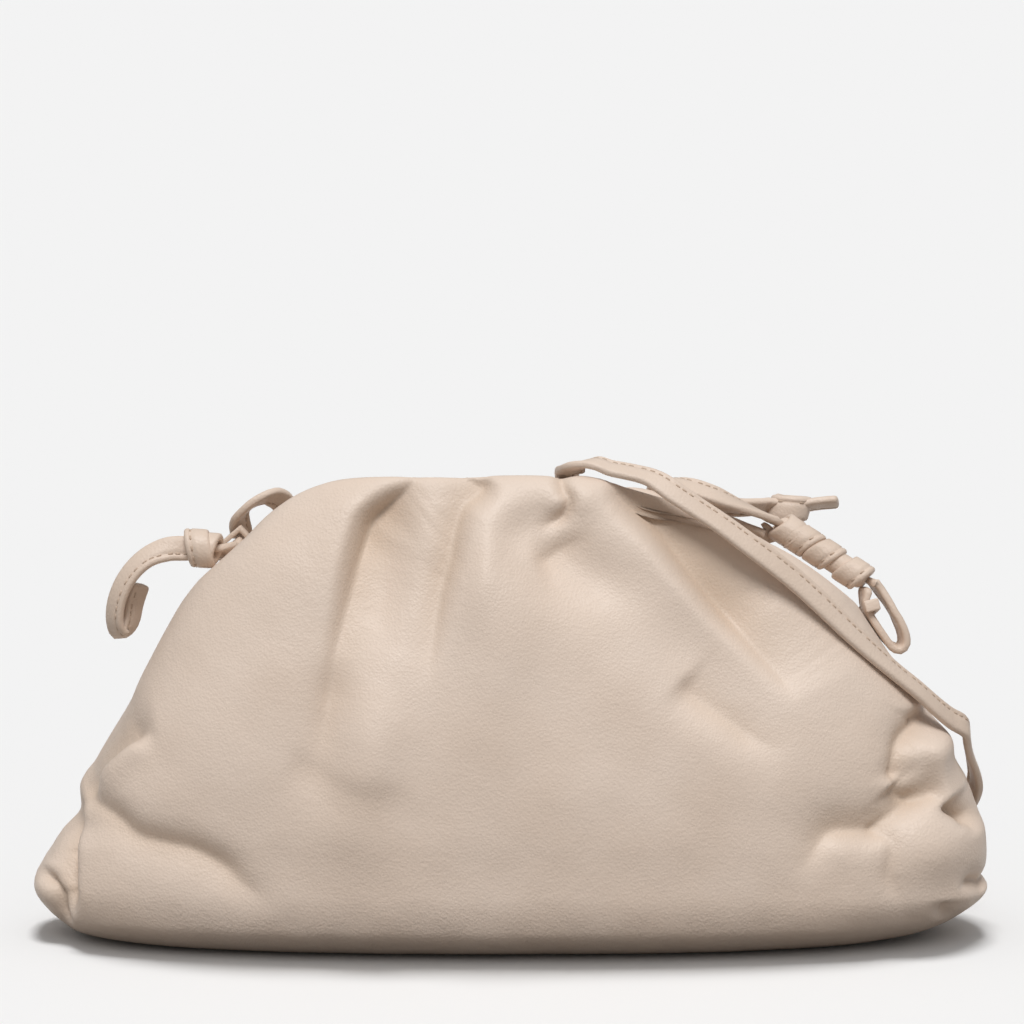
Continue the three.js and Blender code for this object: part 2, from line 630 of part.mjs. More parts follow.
// The knot at the left end, tied to the keeper there.
const keeperOnStrap = 0.9; // from the strap's left end, in strap widths
const leftKnot = above({ turn: 180, section: 10.42 }, 3.3 * strapThickness).at;
const leftKnotAxis = new THREE.Vector3(-1, 0, 0.05).normalize();
const leftWindings = [
  { along: 0.05, deep: 1.9, wide: 1.8, lean: 0.5, slant: 0 },
  { along: -0.2, deep: 1.5, wide: 1.6, lean: -0.5, slant: 60 },
];
const leftCore = { deep: 1.3, wide: 1.3, length: 1 };

// Its tail, folded back behind itself. Offsets from the knot in strap widths: out to the left,
// back away from the front. faceOut and faceUp turn its face from the front.
const leftTail = [
  { out: 0.62, back: 0, up: 0, faceOut: 0, faceUp: 0.3 },
  { out: 1.3, back: -0.1, up: -0.02, faceOut: 0.1, faceUp: 0.5 },
  { out: 2.15, back: -0.2, up: -0.35, faceOut: 0.6, faceUp: 0.9 },
  { out: 2.9, back: -0.3, up: -1.1, faceOut: 1, faceUp: 0.7 },
  { out: 3.35, back: -0.3, up: -2.1, faceOut: 1.2, faceUp: 0.2 },
  { out: 3.42, back: -0.15, up: -3, faceOut: 1.2, faceUp: -0.4 },
  { out: 3.2, back: 0.1, up: -3.45, faceOut: 0.1, faceUp: -2 },
  { out: 2.88, back: 0.35, up: -3.05, faceOut: -1.2, faceUp: -0.7 },
  { out: 2.72, back: 0.5, up: -2.3, faceOut: -1.2, faceUp: -0.3 },
  { out: 2.45, back: 0.55, up: -1.5, faceOut: -1.1, faceUp: -0.6 },
];
function leftTailPoints() {
  return leftTail.map(({ out, back, up, faceOut, faceUp }) => ({
    at: new THREE.Vector3(-out, back, up).multiplyScalar(strapWidth).add(leftKnot),
    face: new THREE.Vector3(-faceOut, -1, faceUp).normalize(),
  }));
}

// The sliding knot at the right end: four turns of the strap round itself, wound over the axis
// between two places that lie on the back of the shoulder.
const windingRadius = 1.5; // of the middle of a turn, in strap thicknesses
const knotSeat = (windingRadius + 1.3) * strapThickness + clearance; // over the bulging shoulder
const slideStart = above({ turn: 45.5, section: 11.15 }, knotSeat).at;
const slideEnd = above({ turn: 12.5, section: 10.9 }, knotSeat).at;
const slideAxis = slideEnd.clone().sub(slideStart).normalize();
const slideKnot = slideStart.clone().lerp(slideEnd, 0.5);
const slideLength = slideStart.distanceTo(slideEnd) / strapWidth;
const round = { deep: windingRadius, wide: windingRadius };
const slideWindings = [
  { ...round, along: -0.37 * slideLength, lean: 0.9, slant: 30 },
  { ...round, along: -0.2 * slideLength, lean: 0.7, slant: -20 },
  { ...round, along: 0.03 * slideLength, lean: 0.8, slant: 0 },
  { ...round, along: 0.36 * slideLength, lean: 0.7, slant: 10 },
];
const slideCore = { deep: 1.5, wide: 1.5, length: slideLength };

// The bight that hangs from the sliding knot round the right keeper.
const keeperOnBight = 5.1; // from the bight's outer end, in strap widths
const bightRoute = [
  { turn: 12, section: 10.72, lift: 3, flip: 1 },
  { turn: 9, section: 10.05, lift: 3, flip: 1 },
  { turn: 7, section: 9.6, lift: 2.8, flip: 1 },
  { turn: 5.8, section: 9.2, lift: 2.5, flip: 0.9 },
  { turn: 5.4, section: 8.92, lift: 2, flip: 0.6 },
  { turn: 5.3, section: 8.8, lift: 1.1, flip: 0 },
  { turn: 5.4, section: 8.92, lift: 0.2, flip: -0.8 },
  { turn: 6, section: 9.25, lift: 0, flip: -1 },
  { turn: 7.2, section: 9.6, lift: 0, flip: -1 },
  { turn: 8.8, section: 10, lift: 0.1, flip: -1 },
  { turn: 10.8, section: 10.4, lift: 0.7, flip: -1 },
];

// The strap's free end: back out of the sliding knot, round and up to the stopper knot.
const freeRoute = [
  { turn: 47.7, section: 10.85, lift: 0.25, flip: -1 },
  { turn: 52, section: 10.85, lift: 0, flip: -1 },
  { turn: 57, section: 10.85, lift: 0, flip: -1 },
  { turn: 62, section: 10.75, lift: 0.1, flip: -0.9 },
  { turn: 65, section: 10.55, lift: 0.7, flip: -0.5 },
  { turn: 65.5, section: 10.45, lift: 1.5, flip: 0.2 },
  { turn: 63.5, section: 10.6, lift: 2.3, flip: 0.8 },
  { turn: 60, section: 10.75, lift: 2.7, flip: 1 },
  { turn: 55, section: 10.8, lift: 3.6, flip: 1 },
  { turn: 50.9, section: 10.75, lift: 5.5, flip: 1 },
];
const stopperKnot = above({ turn: 46.5, section: 10.7 }, 7.4 * strapThickness).at;
const stopperAxis = new THREE.Vector3(0.25, 0.1, 1).normalize();
const stopperWindings = [
  { along: 0.05, deep: 1.5, wide: 2.1, lean: 0.4, slant: 90 },
  { along: -0.15, deep: 1.2, wide: 1.7, lean: -0.5, slant: 60 },
];
const stopperCore = { deep: 1.1, wide: 1.5, length: 0.9 };
const stopperTail = [
  { right: 1.02, back: 0, up: 0.2 },
  { right: 1.45, back: 0, up: 0.25 },
  { right: 2, back: -0.05, up: 0.3 },
];
function stopperTailPoints() {
  return stopperTail.map(({ right, back, up }) => ({
    at: new THREE.Vector3(right, back, up).multiplyScalar(strapWidth).add(stopperKnot),
    face: new THREE.Vector3(0, 0.5, 1).normalize(),
  }));
}

const group = new THREE.Group();

function add(name, geometry, material) {
  const mesh = new THREE.Mesh(geometry, material);
  mesh.name = name;
  group.add(mesh);
  return mesh;
}

const creamLeather = new THREE.MeshStandardMaterial({ color: 0xdfcbb9, roughness: 0.55, metalness: 0 });
const strapLeather = new THREE.MeshStandardMaterial({ color: 0xdcc8b5, roughness: 0.5, metalness: 0 });

add("pouch", pouchGeometry(), creamLeather);
const strapFrames = framesThrough(strapRoute);
const bightFrames = framesThrough(alongPouch(bightRoute, -90));
const frameAt = (frames, widths) => frames[Math.round((widths * strapWidth) / fineStep)];
add("strap", strapGeometry(thinned(strapFrames)), strapLeather);

add("left_keeper", keeperGeometry(frameAt(strapFrames, keeperOnStrap), 1), creamLeather);
add("left_knot", knotGeometry(leftKnot, leftKnotAxis, upward, leftWindings, leftCore), strapLeather);
add("left_tail", strapGeometry(thinned(framesThrough(leftTailPoints()))), strapLeather);
add("right_keeper", keeperGeometry(frameAt(bightFrames, keeperOnBight), -1), creamLeather);
add("sliding_knot", knotGeometry(slideKnot, slideAxis, upward, slideWindings, slideCore), strapLeather);
add("bight", strapGeometry(thinned(bightFrames)), strapLeather);
add("free_end", strapGeometry(thinned(framesThrough(alongPouch(freeRoute)))), strapLeather);
add(
  "stopper_knot",
  knotGeometry(stopperKnot, stopperAxis, forward, stopperWindings, stopperCore),
  strapLeather,
);
add("stopper_tail", strapGeometry(thinned(framesThrough(stopperTailPoints()))), strapLeather);

export default group;
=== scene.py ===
# The looks of a soft cream leather pouch bag that stands on its base, with a long narrow strap
# knotted at both ends of its mouth. +X runs along the mouth, -Y is the front and +Z is up.
# Shapes are worked out in millimetres, as in the part's source, and turned to metres at the mesh.

import math
from collections import namedtuple

import bpy
import numpy as np
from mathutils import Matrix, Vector


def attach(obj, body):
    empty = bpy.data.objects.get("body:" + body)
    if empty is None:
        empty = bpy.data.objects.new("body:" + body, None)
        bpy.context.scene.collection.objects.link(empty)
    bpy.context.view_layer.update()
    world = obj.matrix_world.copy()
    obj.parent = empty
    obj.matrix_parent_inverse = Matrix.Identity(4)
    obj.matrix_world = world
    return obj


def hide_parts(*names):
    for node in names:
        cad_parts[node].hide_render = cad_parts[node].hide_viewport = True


METRES = 0.001

# Driving sizes of the bag
BAG_WIDTH = 235.0
BAG_HEIGHT = 113.0
BAG_DEPTH = 80.0
LEATHER = 2.0
MOUTH_GAP = 7.0
STRAP_WIDTH = 6.2
STRAP_THICKNESS = 2.0
KEEPER_THICKNESS = 1.2
KEEPER_WIDTH = 3.0
KEEPER_ROOM = 0.6
CLEARANCE = 0.3
FLOOR_REACH = 62.0

# Camera: a long lens that looks a little down, and the photograph's size in pixels
CAMERA_DISTANCE = 1150.0
CAMERA_ELEVATION = math.radians(8.0)
CAMERA_AIM = 104.7  # height of the picture's centre above the floor, over the origin
PICTURE = 1024
SENSOR = 36.0
PIXEL = 0.2453  # millimetres that one pixel covers over the origin

# Sections of the pouch from the middle of the base to the slit, as in the part's source: shares of
# half the width and half the depth, and heights as shares of the height.
SECTION_COLUMNS = ("left", "right", "front", "back", "middle", "left_end", "right_end")
SECTIONS = (
    (0, 0, 0, 0, 0, 0, 0),
    (0.79, 0.74, 0.6, 0.55, 0, 0, 0),
    (0.92, 0.87, 0.8, 0.75, 0.013, 0.015, 0.017),
    (0.98, 0.957, 0.96, 0.9, 0.07, 0.058, 0.06),
    (1, 1, 1, 0.95, 0.15, 0.108, 0.11),
    (0.975, 0.996, 1, 0.96, 0.243, 0.183, 0.183),
    (0.94, 0.983, 0.975, 0.94, 0.348, 0.278, 0.278),
    (0.877, 0.928, 0.925, 0.89, 0.47, 0.39, 0.39),
    (0.8, 0.86, 0.825, 0.8, 0.61, 0.52, 0.52),
    (0.728, 0.787, 0.713, 0.7, 0.748, 0.652, 0.62),
    (0.647, 0.745, 0.588, 0.6, 0.87, 0.774, 0.685),
    (0.585, 0.72, 0.45, 0.475, 0.957, 0.82, 0.725),
    (0.56, 0.7, 0.31, 0.33, 1, 0.83, 0.74),
    (0.55, 0.69, 0.19, 0.2, 0.985, 0.81, 0.73),
    (0.54, 0.68, 0, 0, 0.92, 0.76, 0.7),
)
TOP_SECTION = len(SECTIONS) - 1
CREST_SECTION = 12
BASE_SECTION = 1
SOFT_SECTION = 3
MOUTH_STIFFNESS = 0.12
SQUARENESS = 2.5
ARCH_LEFT = 6
ARCH_RIGHT = 2.5
FRONT_LIP_RISE = 0.02  # shares of the height: the front lip stands higher than the back one
BACK_LIP_FALL = 0.012
LIPS_PART_FROM = 8  # the section from which they differ
TIP_FROM = 7  # section from which a ridge rises less and less upward, and more away from the slit
UPWARD_SHARE = 0.3
OUTWARD_PUSH = 0.7

# A crease, pleat or ridge of the leather. path: places on the face, x from -1 to 1 between the
# corners and z from 0 to 1 at the crest. rise, left and right: how far it stands out and its widths
# to either side of someone who looks down, in shares of the depth. fade: the shares of the path over
# which it comes and goes. sharp: 2 is a soft trough and 1 a crease. lean: how far the leather beside
# it overlaps it, from the left where it is positive. wrinkles: how crumpled the leather is round it.
Fold = namedtuple(
    "Fold",
    "side path rise left right fade sharp lean wrinkles",
    defaults=((0.2, 0.4), 1.6, 0, 0.3),
)
FOLDS = (
    # left pleat, whose left panel laps over a hollow
    Fold(-1, ((-0.17, 1.05), (-0.212, 0.998), (-0.253, 0.966), (-0.292, 0.93), (-0.306, 0.891),
              (-0.318, 0.853), (-0.337, 0.776), (-0.36, 0.676), (-0.377, 0.567), (-0.381, 0.483)),
         -0.095, 0.02, 0.13, (0.3, 0.6), 1.4, 0.014, 0.4),
    # its run-out down the belly
    Fold(-1, ((-0.35, 0.66), (-0.372, 0.58), (-0.388, 0.47), (-0.4, 0.36)), -0.022, 0.05, 0.06, (0.4, 0.5)),
    # middle groove and the ridge on its right
    Fold(-1, ((-0.05, 1.03), (-0.064, 0.991), (-0.099, 0.963), (-0.117, 0.917), (-0.125, 0.867),
              (-0.139, 0.816), (-0.153, 0.748), (-0.162, 0.68), (-0.172, 0.631), (-0.198, 0.578)),
         -0.05, 0.09, 0.022, (0.1, 0.5), 1.5, -0.012),
    Fold(-1, ((-0.02, 0.97), (-0.045, 0.91), (-0.06, 0.84), (-0.085, 0.75), (-0.11, 0.64)),
         0.02, 0.05, 0.06, (0.4, 0.5), 2),
    # small tuck under the lip
    Fold(-1, ((0.1, 1.04), (0.105, 0.997), (0.117, 0.976), (0.109, 0.949), (0.077, 0.928), (0.039, 0.92)),
         -0.036, 0.022, 0.022, (0.02, 0.4), 1.4, 0, 0.8),
    # arc of the dimple
    Fold(-1, ((0.04, 0.842), (0.067, 0.854), (0.109, 0.881), (0.194, 0.915)),
         -0.028, 0.06, 0.045, (0.4, 0.4), 1.4, 0, 0.6),
    # right edge of the front panel, over the shoulder
    Fold(-1, ((0.19, 1.03), (0.223, 0.985), (0.295, 0.928), (0.375, 0.832), (0.447, 0.748), (0.49, 0.695),
              (0.563, 0.6), (0.589, 0.547)),
         -0.1, 0.026, 0.2, (0.3, 0.5), 1.6, 0.025, 0.25),
    # creases between the shoulder and the right pucker
    Fold(-1, ((0.34, 0.61), (0.364, 0.586), (0.444, 0.528), (0.503, 0.479), (0.586, 0.448)),
         -0.03, 0.05, 0.07, (0.3, 0.4), 1.5, 0, 0.4),
    Fold(-1, ((0.85, 0.52), (0.844, 0.492), (0.809, 0.459), (0.796, 0.41), (0.795, 0.366)),
         -0.05, 0.04, 0.045, (0.2, 0.2), 1.2, 0, 0.8),
    Fold(-1, ((0.79, 0.374), (0.8, 0.362), (0.83, 0.347), (0.88, 0.362)),
         -0.04, 0.04, 0.035, (0.2, 0.3), 1.2, 0, 0.8),
    Fold(-1, ((0.9, 0.36), (0.876, 0.347), (0.829, 0.326), (0.744, 0.282), (0.656, 0.278), (0.612, 0.228),
              (0.57, 0.168)),
         -0.055, 0.1, 0.045, (0.15, 0.4), 1.4, 0, 0.4),
    Fold(-1, ((0.74, 0.29), (0.752, 0.273), (0.786, 0.252), (0.776, 0.181), (0.797, 0.126), (0.814, 0.03)),
         -0.018, 0.03, 0.035, (0.2, 0.4), 1.3, 0, 0.3),
    # tuck of the right gusset
    Fold(-1, ((0.915, 0.33), (0.925, 0.308), (0.945, 0.29), (0.961, 0.269), (0.964, 0.232)),
         -0.075, 0.03, 0.035, (0.2, 0.4), 1.4, 0, 0.5),
    Fold(-1, ((1.005, 0.115), (0.99, 0.128), (0.959, 0.141), (0.922, 0.126)),
         -0.04, 0.025, 0.03, (0.2, 0.4), 1.3),
    Fold(-1, ((0.9, 0.11), (0.896, 0.083), (0.886, 0.058)), -0.025, 0.025, 0.03, (0.3, 0.4), 1.3),
    # left corner: the front panel's edge, and the ear of the gusset behind it
    Fold(-1, ((-0.91, 0.36), (-0.926, 0.307), (-0.932, 0.288), (-0.93, 0.2), (-0.922, 0.124), (-0.912, 0.06)),
         -0.065, 0.05, 0.015, (0.3, 0.2), 1.5, -0.018, 0.3),
    Fold(-1, ((-0.985, 0.16), (-0.964, 0.128), (-0.937, 0.06), (-0.909, 0.051)),
         -0.045, 0.02, 0.02, (0.2, 0.3), 1.2),
    Fold(-1, ((-0.94, 0.22), (-0.928, 0.2), (-0.927, 0.123)), -0.02, 0.02, 0.02, (0.2, 0.3), 1.2),
    # pinch over the left corner, and the ridge below it
    Fold(-1, ((-0.72, 0.48), (-0.766, 0.471), (-0.805, 0.45), (-0.86, 0.395), (-0.901, 0.349), (-0.94, 0.32)),
         -0.045, 0.08, 0.03, (0.3, 0.15), 1.4, 0, 0.6),
    Fold(-1, ((-0.728, 0.461), (-0.774, 0.443), (-0.825, 0.4), (-0.908, 0.337)),
         0.025, 0.03, 0.04, (0.4, 0.3), 2),
    # long valley that falls from the left corner
    Fold(-1, ((-0.93, 0.345), (-0.895, 0.331), (-0.83, 0.303), (-0.777, 0.265), (-0.726, 0.254),
              (-0.655, 0.24), (-0.592, 0.207), (-0.556, 0.171), (-0.512, 0.141), (-0.469, 0.105)),
         -0.045, 0.07, 0.05, (0.15, 0.4), 1.4, 0, 0.4),
    # drape across the left belly
    Fold(-1, ((-0.47, 0.44), (-0.431, 0.421), (-0.338, 0.365), (-0.251, 0.354), (-0.19, 0.37)),
         -0.013, 0.09, 0.05, (0.35, 0.4), 2),
    # gathers of the back
    Fold(1, ((-0.45, 1.05), (-0.49, 0.85), (-0.54, 0.68), (-0.62, 0.5)),
         -0.06, 0.05, 0.08, (0.02, 0.7), 1.6, 0.012, 0.4),
    Fold(1, ((-0.12, 1.05), (-0.145, 0.9), (-0.18, 0.74), (-0.24, 0.55)),
         -0.07, 0.04, 0.1, (0.02, 0.7), 1.6, 0.015, 0.5),
    Fold(1, ((0.18, 1.05), (0.205, 0.9), (0.24, 0.76), (0.3, 0.6)),
         -0.06, 0.08, 0.05, (0.02, 0.7), 1.6, -0.012, 0.5),
    Fold(1, ((0.42, 0.98), (0.48, 0.84), (0.56, 0.67), (0.66, 0.5)),
         -0.06, 0.07, 0.08, (0.05, 0.7), 1.6, 0, 0.4),
    Fold(1, ((-0.8, 0.42), (-0.72, 0.36), (-0.6, 0.28), (-0.45, 0.22)), -0.03, 0.06, 0.06, (0.3, 0.5), 1.6),
    Fold(1, ((0.8, 0.42), (0.73, 0.35), (0.62, 0.27), (0.5, 0.2)), -0.03, 0.06, 0.06, (0.3, 0.5), 1.6),
)

# Broad hollows and swellings: centre as above, radii and rise as shares of the depth, and the turn
# of the long radius in degrees anticlockwise as seen from the front. A side of 0 is on both.
Swell = namedtuple("Swell", "side x z along across turn rise")
SWELLS = (
    Swell(-1, 0.12, 0.84, 0.22, 0.11, -15, -0.055),
    Swell(-1, 0.04, 0.93, 0.12, 0.07, 25, -0.03),
    Swell(-1, 0.4, 0.66, 0.2, 0.14, -40, -0.04),
    Swell(-1, -0.26, 0.81, 0.18, 0.08, 80, -0.035),
    Swell(-1, -0.02, 0.74, 0.3, 0.12, 82, 0.035),
    Swell(-1, -0.29, 0.43, 0.22, 0.1, 80, 0.035),
    Swell(-1, -0.56, 0.62, 0.5, 0.26, 65, 0.03),
    Swell(-1, 0.84, 0.41, 0.1, 0.08, 0, 0.03),
    Swell(-1, 0.88, 0.22, 0.12, 0.09, 0, 0.03),
    Swell(-1, 0.828, 0.393, 0.05, 0.04, 0, -0.02),
    Swell(-1, 0.886, 0.425, 0.07, 0.05, 30, 0.025),
    Swell(-1, 0.13, 0.985, 0.09, 0.05, 0, 0.03),
    Swell(0, -0.96, 0.265, 0.14, 0.05, 0, -0.03),
    Swell(0, -0.94, 0.33, 0.1, 0.04, 0, 0.01),
    Swell(0, -0.93, 0.365, 0.06, 0.025, 0, -0.008),
    Swell(0, -0.98, 0.12, 0.08, 0.07, 0, 0.015),
    Swell(1, 0, 0.45, 0.6, 0.35, 0, 0.03),
)

# Fineness of the pouch's skin
COLUMNS_FRONT = 300
COLUMNS_BACK = 100
ROWS_BASE = 5
ROWS_OUTSIDE = 186
ROWS_INSIDE = 52
PATH_STEPS = 28


def smoothstep(x, low, high):
    t = np.clip((x - low) / (high - low), 0, 1)
    return t * t * (3 - 2 * t)


def unit(v):
    return v / np.maximum(np.linalg.norm(v, axis=-1, keepdims=True), 1e-12)


def section_value(column, u):
    """Monotone cubic through one column of the sections."""
    value = np.array(SECTIONS, float)[:, SECTION_COLUMNS.index(column)]
    rise = np.diff(value)
    before, after = rise[:-1], rise[1:]
    both = before + after
    inner = np.where(before * after <= 0, 0, 2 * before * after / np.where(both == 0, 1, both))
    slope = np.concatenate([rise[:1], inner, rise[-1:]])
    i = np.clip(np.floor(u).astype(int), 0, len(value) - 2)
    t = u - i
    a = 2 * t**3 - 3 * t**2 + 1
    b = t**3 - 2 * t**2 + t
    c = 3 * t**2 - 2 * t**3
    d = t**3 - t**2
    return a * value[i] + b * slope[i] + c * value[i + 1] + d * slope[i + 1]


def smooth_point(turn, u):
    """Points of the smooth pouch at turns in degrees, 270 being the front, and heights in sections."""
    turn, u = np.broadcast_arrays(np.asarray(turn, float), np.asarray(u, float))
    cos, sin = np.cos(np.radians(turn)), np.sin(np.radians(turn))
    ex = np.sign(cos) * np.abs(cos) ** (2 / SQUARENESS)
    ey = np.sign(sin) * np.abs(sin) ** (2 / SQUARENESS)
    half_x = np.where(ex > 0, section_value("right", u), section_value("left", u)) * BAG_WIDTH / 2
    reach = np.where(ey > 0, section_value("back", u), section_value("front", u))
    half_y = reach * BAG_DEPTH / 2 + MOUTH_GAP / 2 * smoothstep(u, CREST_SECTION, TOP_SECTION)
    end = np.where(ex > 0, section_value("right_end", u), section_value("left_end", u))
    drop = np.abs(ex) ** np.where(ex > 0, ARCH_RIGHT, ARCH_LEFT)
    middle = section_value("middle", u)
    lips = smoothstep(u, LIPS_PART_FROM, CREST_SECTION)
    apart = ey * np.where(ey > 0, BACK_LIP_FALL, FRONT_LIP_RISE) * lips
    z = middle + (end - middle) * drop - apart
    return np.stack([ex * half_x, ey * half_y, z * BAG_HEIGHT], axis=-1)


DIFFERENCE_TURN = 0.5
DIFFERENCE_SECTION = 0.02


def around_pouch(turn, u):
    return unit(smooth_point(turn + DIFFERENCE_TURN, u) - smooth_point(turn - DIFFERENCE_TURN, u))


def normal_of_smooth(turn, u):
    low = np.maximum(u - DIFFERENCE_SECTION, 0.05)
    high = np.minimum(u + DIFFERENCE_SECTION, TOP_SECTION)
    up = smooth_point(turn, high) - smooth_point(turn, low)
    return unit(np.cross(around_pouch(turn, u), up))


def spline(points, share, centripetal=True):
    """Places on a smooth curve through points, at shares of the way from 0 to 1."""
    p = np.asarray(points, float)
    last = len(p) - 1
    at = np.clip(share, 0, 1) * last
    i = np.minimum(at.astype(int), last - 1)
    t = (at - i)[:, None]
    longer = np.vstack([2 * p[0] - p[1], p, 2 * p[-1] - p[-2]])
    p0, p1, p2, p3 = (longer[i + k] for k in range(4))
    if centripetal:
        pairs = ((p0, p1), (p1, p2), (p2, p3))
        step = [np.sum((b - a) ** 2, axis=1, keepdims=True) ** 0.25 for a, b in pairs]
        d1 = np.where(step[1] < 1e-4, 1, step[1])
        d0 = np.where(step[0] < 1e-4, d1, step[0])
        d2 = np.where(step[2] < 1e-4, d1, step[2])
        start = ((p1 - p0) / d0 - (p2 - p0) / (d0 + d1) + (p2 - p1) / d1) * d1
        end = ((p2 - p1) / d1 - (p3 - p1) / (d1 + d2) + (p3 - p2) / d2) * d1
    else:
        start, end = (p2 - p0) / 2, (p3 - p1) / 2
    return p1 + start * t + (3 * (p2 - p1) - 2 * start - end) * t**2 + (2 * (p1 - p2) + start + end) * t**3


def near_path(fold, x, z):
    """Signed distance in millimetres to a fold's path, how far along it, and the way across it."""
    scale = np.array([BAG_WIDTH / 2, BAG_HEIGHT])
    path = spline(np.array(fold.path) * scale, np.linspace(0, 1, PATH_STEPS + 1))
    best = np.full(x.shape, np.inf)
    sign = np.ones(x.shape)
    travelled = np.zeros(x.shape)
    across = np.zeros(x.shape + (2,))
    for i, (a, b) in enumerate(zip(path[:-1], path[1:])):
        along = b - a
        off_x, off_z = x - a[0], z - a[1]
        share = np.clip((off_x * along[0] + off_z * along[1]) / (along @ along), 0, 1)
        away_x, away_z = off_x - share * along[0], off_z - share * along[1]
        distance = np.hypot(away_x, away_z)
        nearer = distance < best
        best = np.where(nearer, distance, best)
        sign = np.where(nearer, np.where(along[0] * off_z - along[1] * off_x > 0, 1, -1), sign)
        travelled = np.where(nearer, (i + share) / PATH_STEPS, travelled)
        square = np.array([-along[1], along[0]]) / np.linalg.norm(along)
        across = np.where(nearer[..., None], square, across)
    return sign * best, travelled, across


WAVES = 22
WAVE_SHORTEST = 9
WAVE_LONGEST = 34
WAVE_HEIGHT = 0.055


def fine_unevenness(place):
    """Low waves that hand-sewn leather has all over, in millimetres."""
    rng = np.random.default_rng(7)
    total = np.zeros(place.shape[:-1])
    for _ in range(WAVES):
        length = rng.uniform(WAVE_SHORTEST, WAVE_LONGEST)
        way = unit(rng.normal(size=3)) * 2 * math.pi / length
        total += length / WAVE_LONGEST * np.sin(place @ way + rng.uniform(0, 2 * math.pi))
    return total * WAVE_HEIGHT


def weight_of(side, facing):
    """How much of a fold or swell of a side the leather takes where it faces there."""
    return np.ones(facing.shape) if side == 0 else smoothstep(facing * side, -0.25, 0.2)


DEEP_RISE = -0.08  # a fold this deep gets the full painted shade in its crease
# How far a fold is felt, how wide the painted shade in its crease and its wrinkles reach, as a share of its
# width and
#  the millimetres added to that, and how far its overlap lies past its line and runs back
FOLD_REACH = 4
FOLD_MARGIN = 12
CREASE_SHADE_SHARE = 0.6
CREASE_SHADE_LEAST = 0.8
WRINKLE_SHARE = 1.3
WRINKLE_LEAST = 3
LAP_PAST = 1.5
LAP_RUN = 5


def leather_relief(place, turn, fine=True):
    """How far the leather stands out there, its sideways shift, how much painted shade its creases get, and
    how wrinkled it is.
    """
    facing = np.sin(np.radians(turn))
    x, z = place[..., 0], place[..., 2]
    rise = np.zeros(x.shape)
    shift = np.zeros(place.shape)
    crease_shade = np.zeros(x.shape)
    wrinkled = np.zeros(x.shape)
    for fold in FOLDS:
        weight = weight_of(fold.side, facing)
        left, right = fold.left * BAG_DEPTH, fold.right * BAG_DEPTH
        reach = FOLD_REACH * max(left, right) + FOLD_MARGIN
        path = np.array(fold.path) * (BAG_WIDTH / 2, BAG_HEIGHT)
        low, high = path.min(axis=0) - reach, path.max(axis=0) + reach
        inside = (weight > 0) & (x > low[0]) & (x < high[0]) & (z > low[1]) & (z < high[1])
        if not inside.any():
            continue
        distance, travelled, across = near_path(fold, x[inside], z[inside])
        ends = smoothstep(travelled, 0, fold.fade[0]) * (1 - smoothstep(travelled, 1 - fold.fade[1], 1))
        ends = ends * weight[inside]
        width = np.where(distance > 0, right, left)
        shape = np.exp(-(np.abs(distance) / width) ** fold.sharp)
        rise[inside] += fold.rise * BAG_DEPTH * shape * ends
        if fold.lean:
            way = math.copysign(1, fold.lean)
            narrow = left if fold.lean > 0 else right
            past = distance * way + LAP_PAST * narrow
            lap = np.exp(-(past / np.where(past < 0, LAP_RUN * narrow, narrow)) ** 2)
            move = fold.lean * BAG_DEPTH * lap * ends
            shift[inside, 0] -= across[..., 0] * move
            shift[inside, 2] -= across[..., 1] * move
        # Painted shade: a mask by which the colour in a fold's crease is darkened, strongest along deep
        # folds.
        if fold.rise < 0:
            depth = min(1, fold.rise / DEEP_RISE)
            crease_shade_width = CREASE_SHADE_SHARE * width + CREASE_SHADE_LEAST
            crease_shade[inside] += depth * np.exp(-(np.abs(distance) / crease_shade_width) ** 2) * ends
        wrinkle_width = WRINKLE_SHARE * max(left, right) + WRINKLE_LEAST
        wrinkled[inside] += fold.wrinkles * np.exp(-(distance / wrinkle_width) ** 2) * ends
    for swell in SWELLS:
        weight = weight_of(swell.side, facing)
        angle = math.radians(swell.turn)
        dx, dz = x - swell.x * BAG_WIDTH / 2, z - swell.z * BAG_HEIGHT
        a = (dx * math.cos(angle) + dz * math.sin(angle)) / (swell.along * BAG_DEPTH)
        b = (dz * math.cos(angle) - dx * math.sin(angle)) / (swell.across * BAG_DEPTH)
        rise += weight * swell.rise * BAG_DEPTH * np.exp(-a * a - b * b)
    if fine:
        rise += fine_unevenness(place)
    return rise, shift, np.clip(crease_shade, 0, 1), np.clip(wrinkled, 0, 1)


def rise_way(turn, u):
    """Which way a ridge rises: square to the leather, and away from the slit where it faces up."""
    top = smoothstep(u, TIP_FROM, CREST_SECTION)
    way = normal_of_smooth(turn, u)
    way[..., 1] += np.sin(np.radians(turn)) * OUTWARD_PUSH * top
    way[..., 2] *= 1 - (1 - UPWARD_SHARE) * top
    return unit(way)


def folded_point(turn, u):
    """Points of the pouch's outside with its folds, the painted shade of its creases, and how wrinkled it is
    there.
    """
    turn, u = np.broadcast_arrays(np.asarray(turn, float), np.asarray(u, float))
    place = smooth_point(turn, u)
    rise, shift, crease_shade, wrinkled = leather_relief(place, turn)
    free = smoothstep(u, BASE_SECTION, SOFT_SECTION)
    free = free * (1 - (1 - MOUTH_STIFFNESS) * smoothstep(u, CREST_SECTION, TOP_SECTION))
    normal = normal_of_smooth(turn, u)
    shift = shift - normal * np.sum(shift * normal, axis=-1, keepdims=True)
    place = place + rise_way(turn, u) * (rise * free)[..., None] + shift * free[..., None]
    return place, crease_shade * free, wrinkled * free


FINE_STEPS = 2000
EVEN_SECTION = 8.0  # the section round which the columns are even
PROFILE_TURN = 262.0  # the turn along which the rows are even
FIRST_OUTSIDE = 0.08  # the sections at which the skin starts outside and ends inside
LAST_INSIDE = 0.3


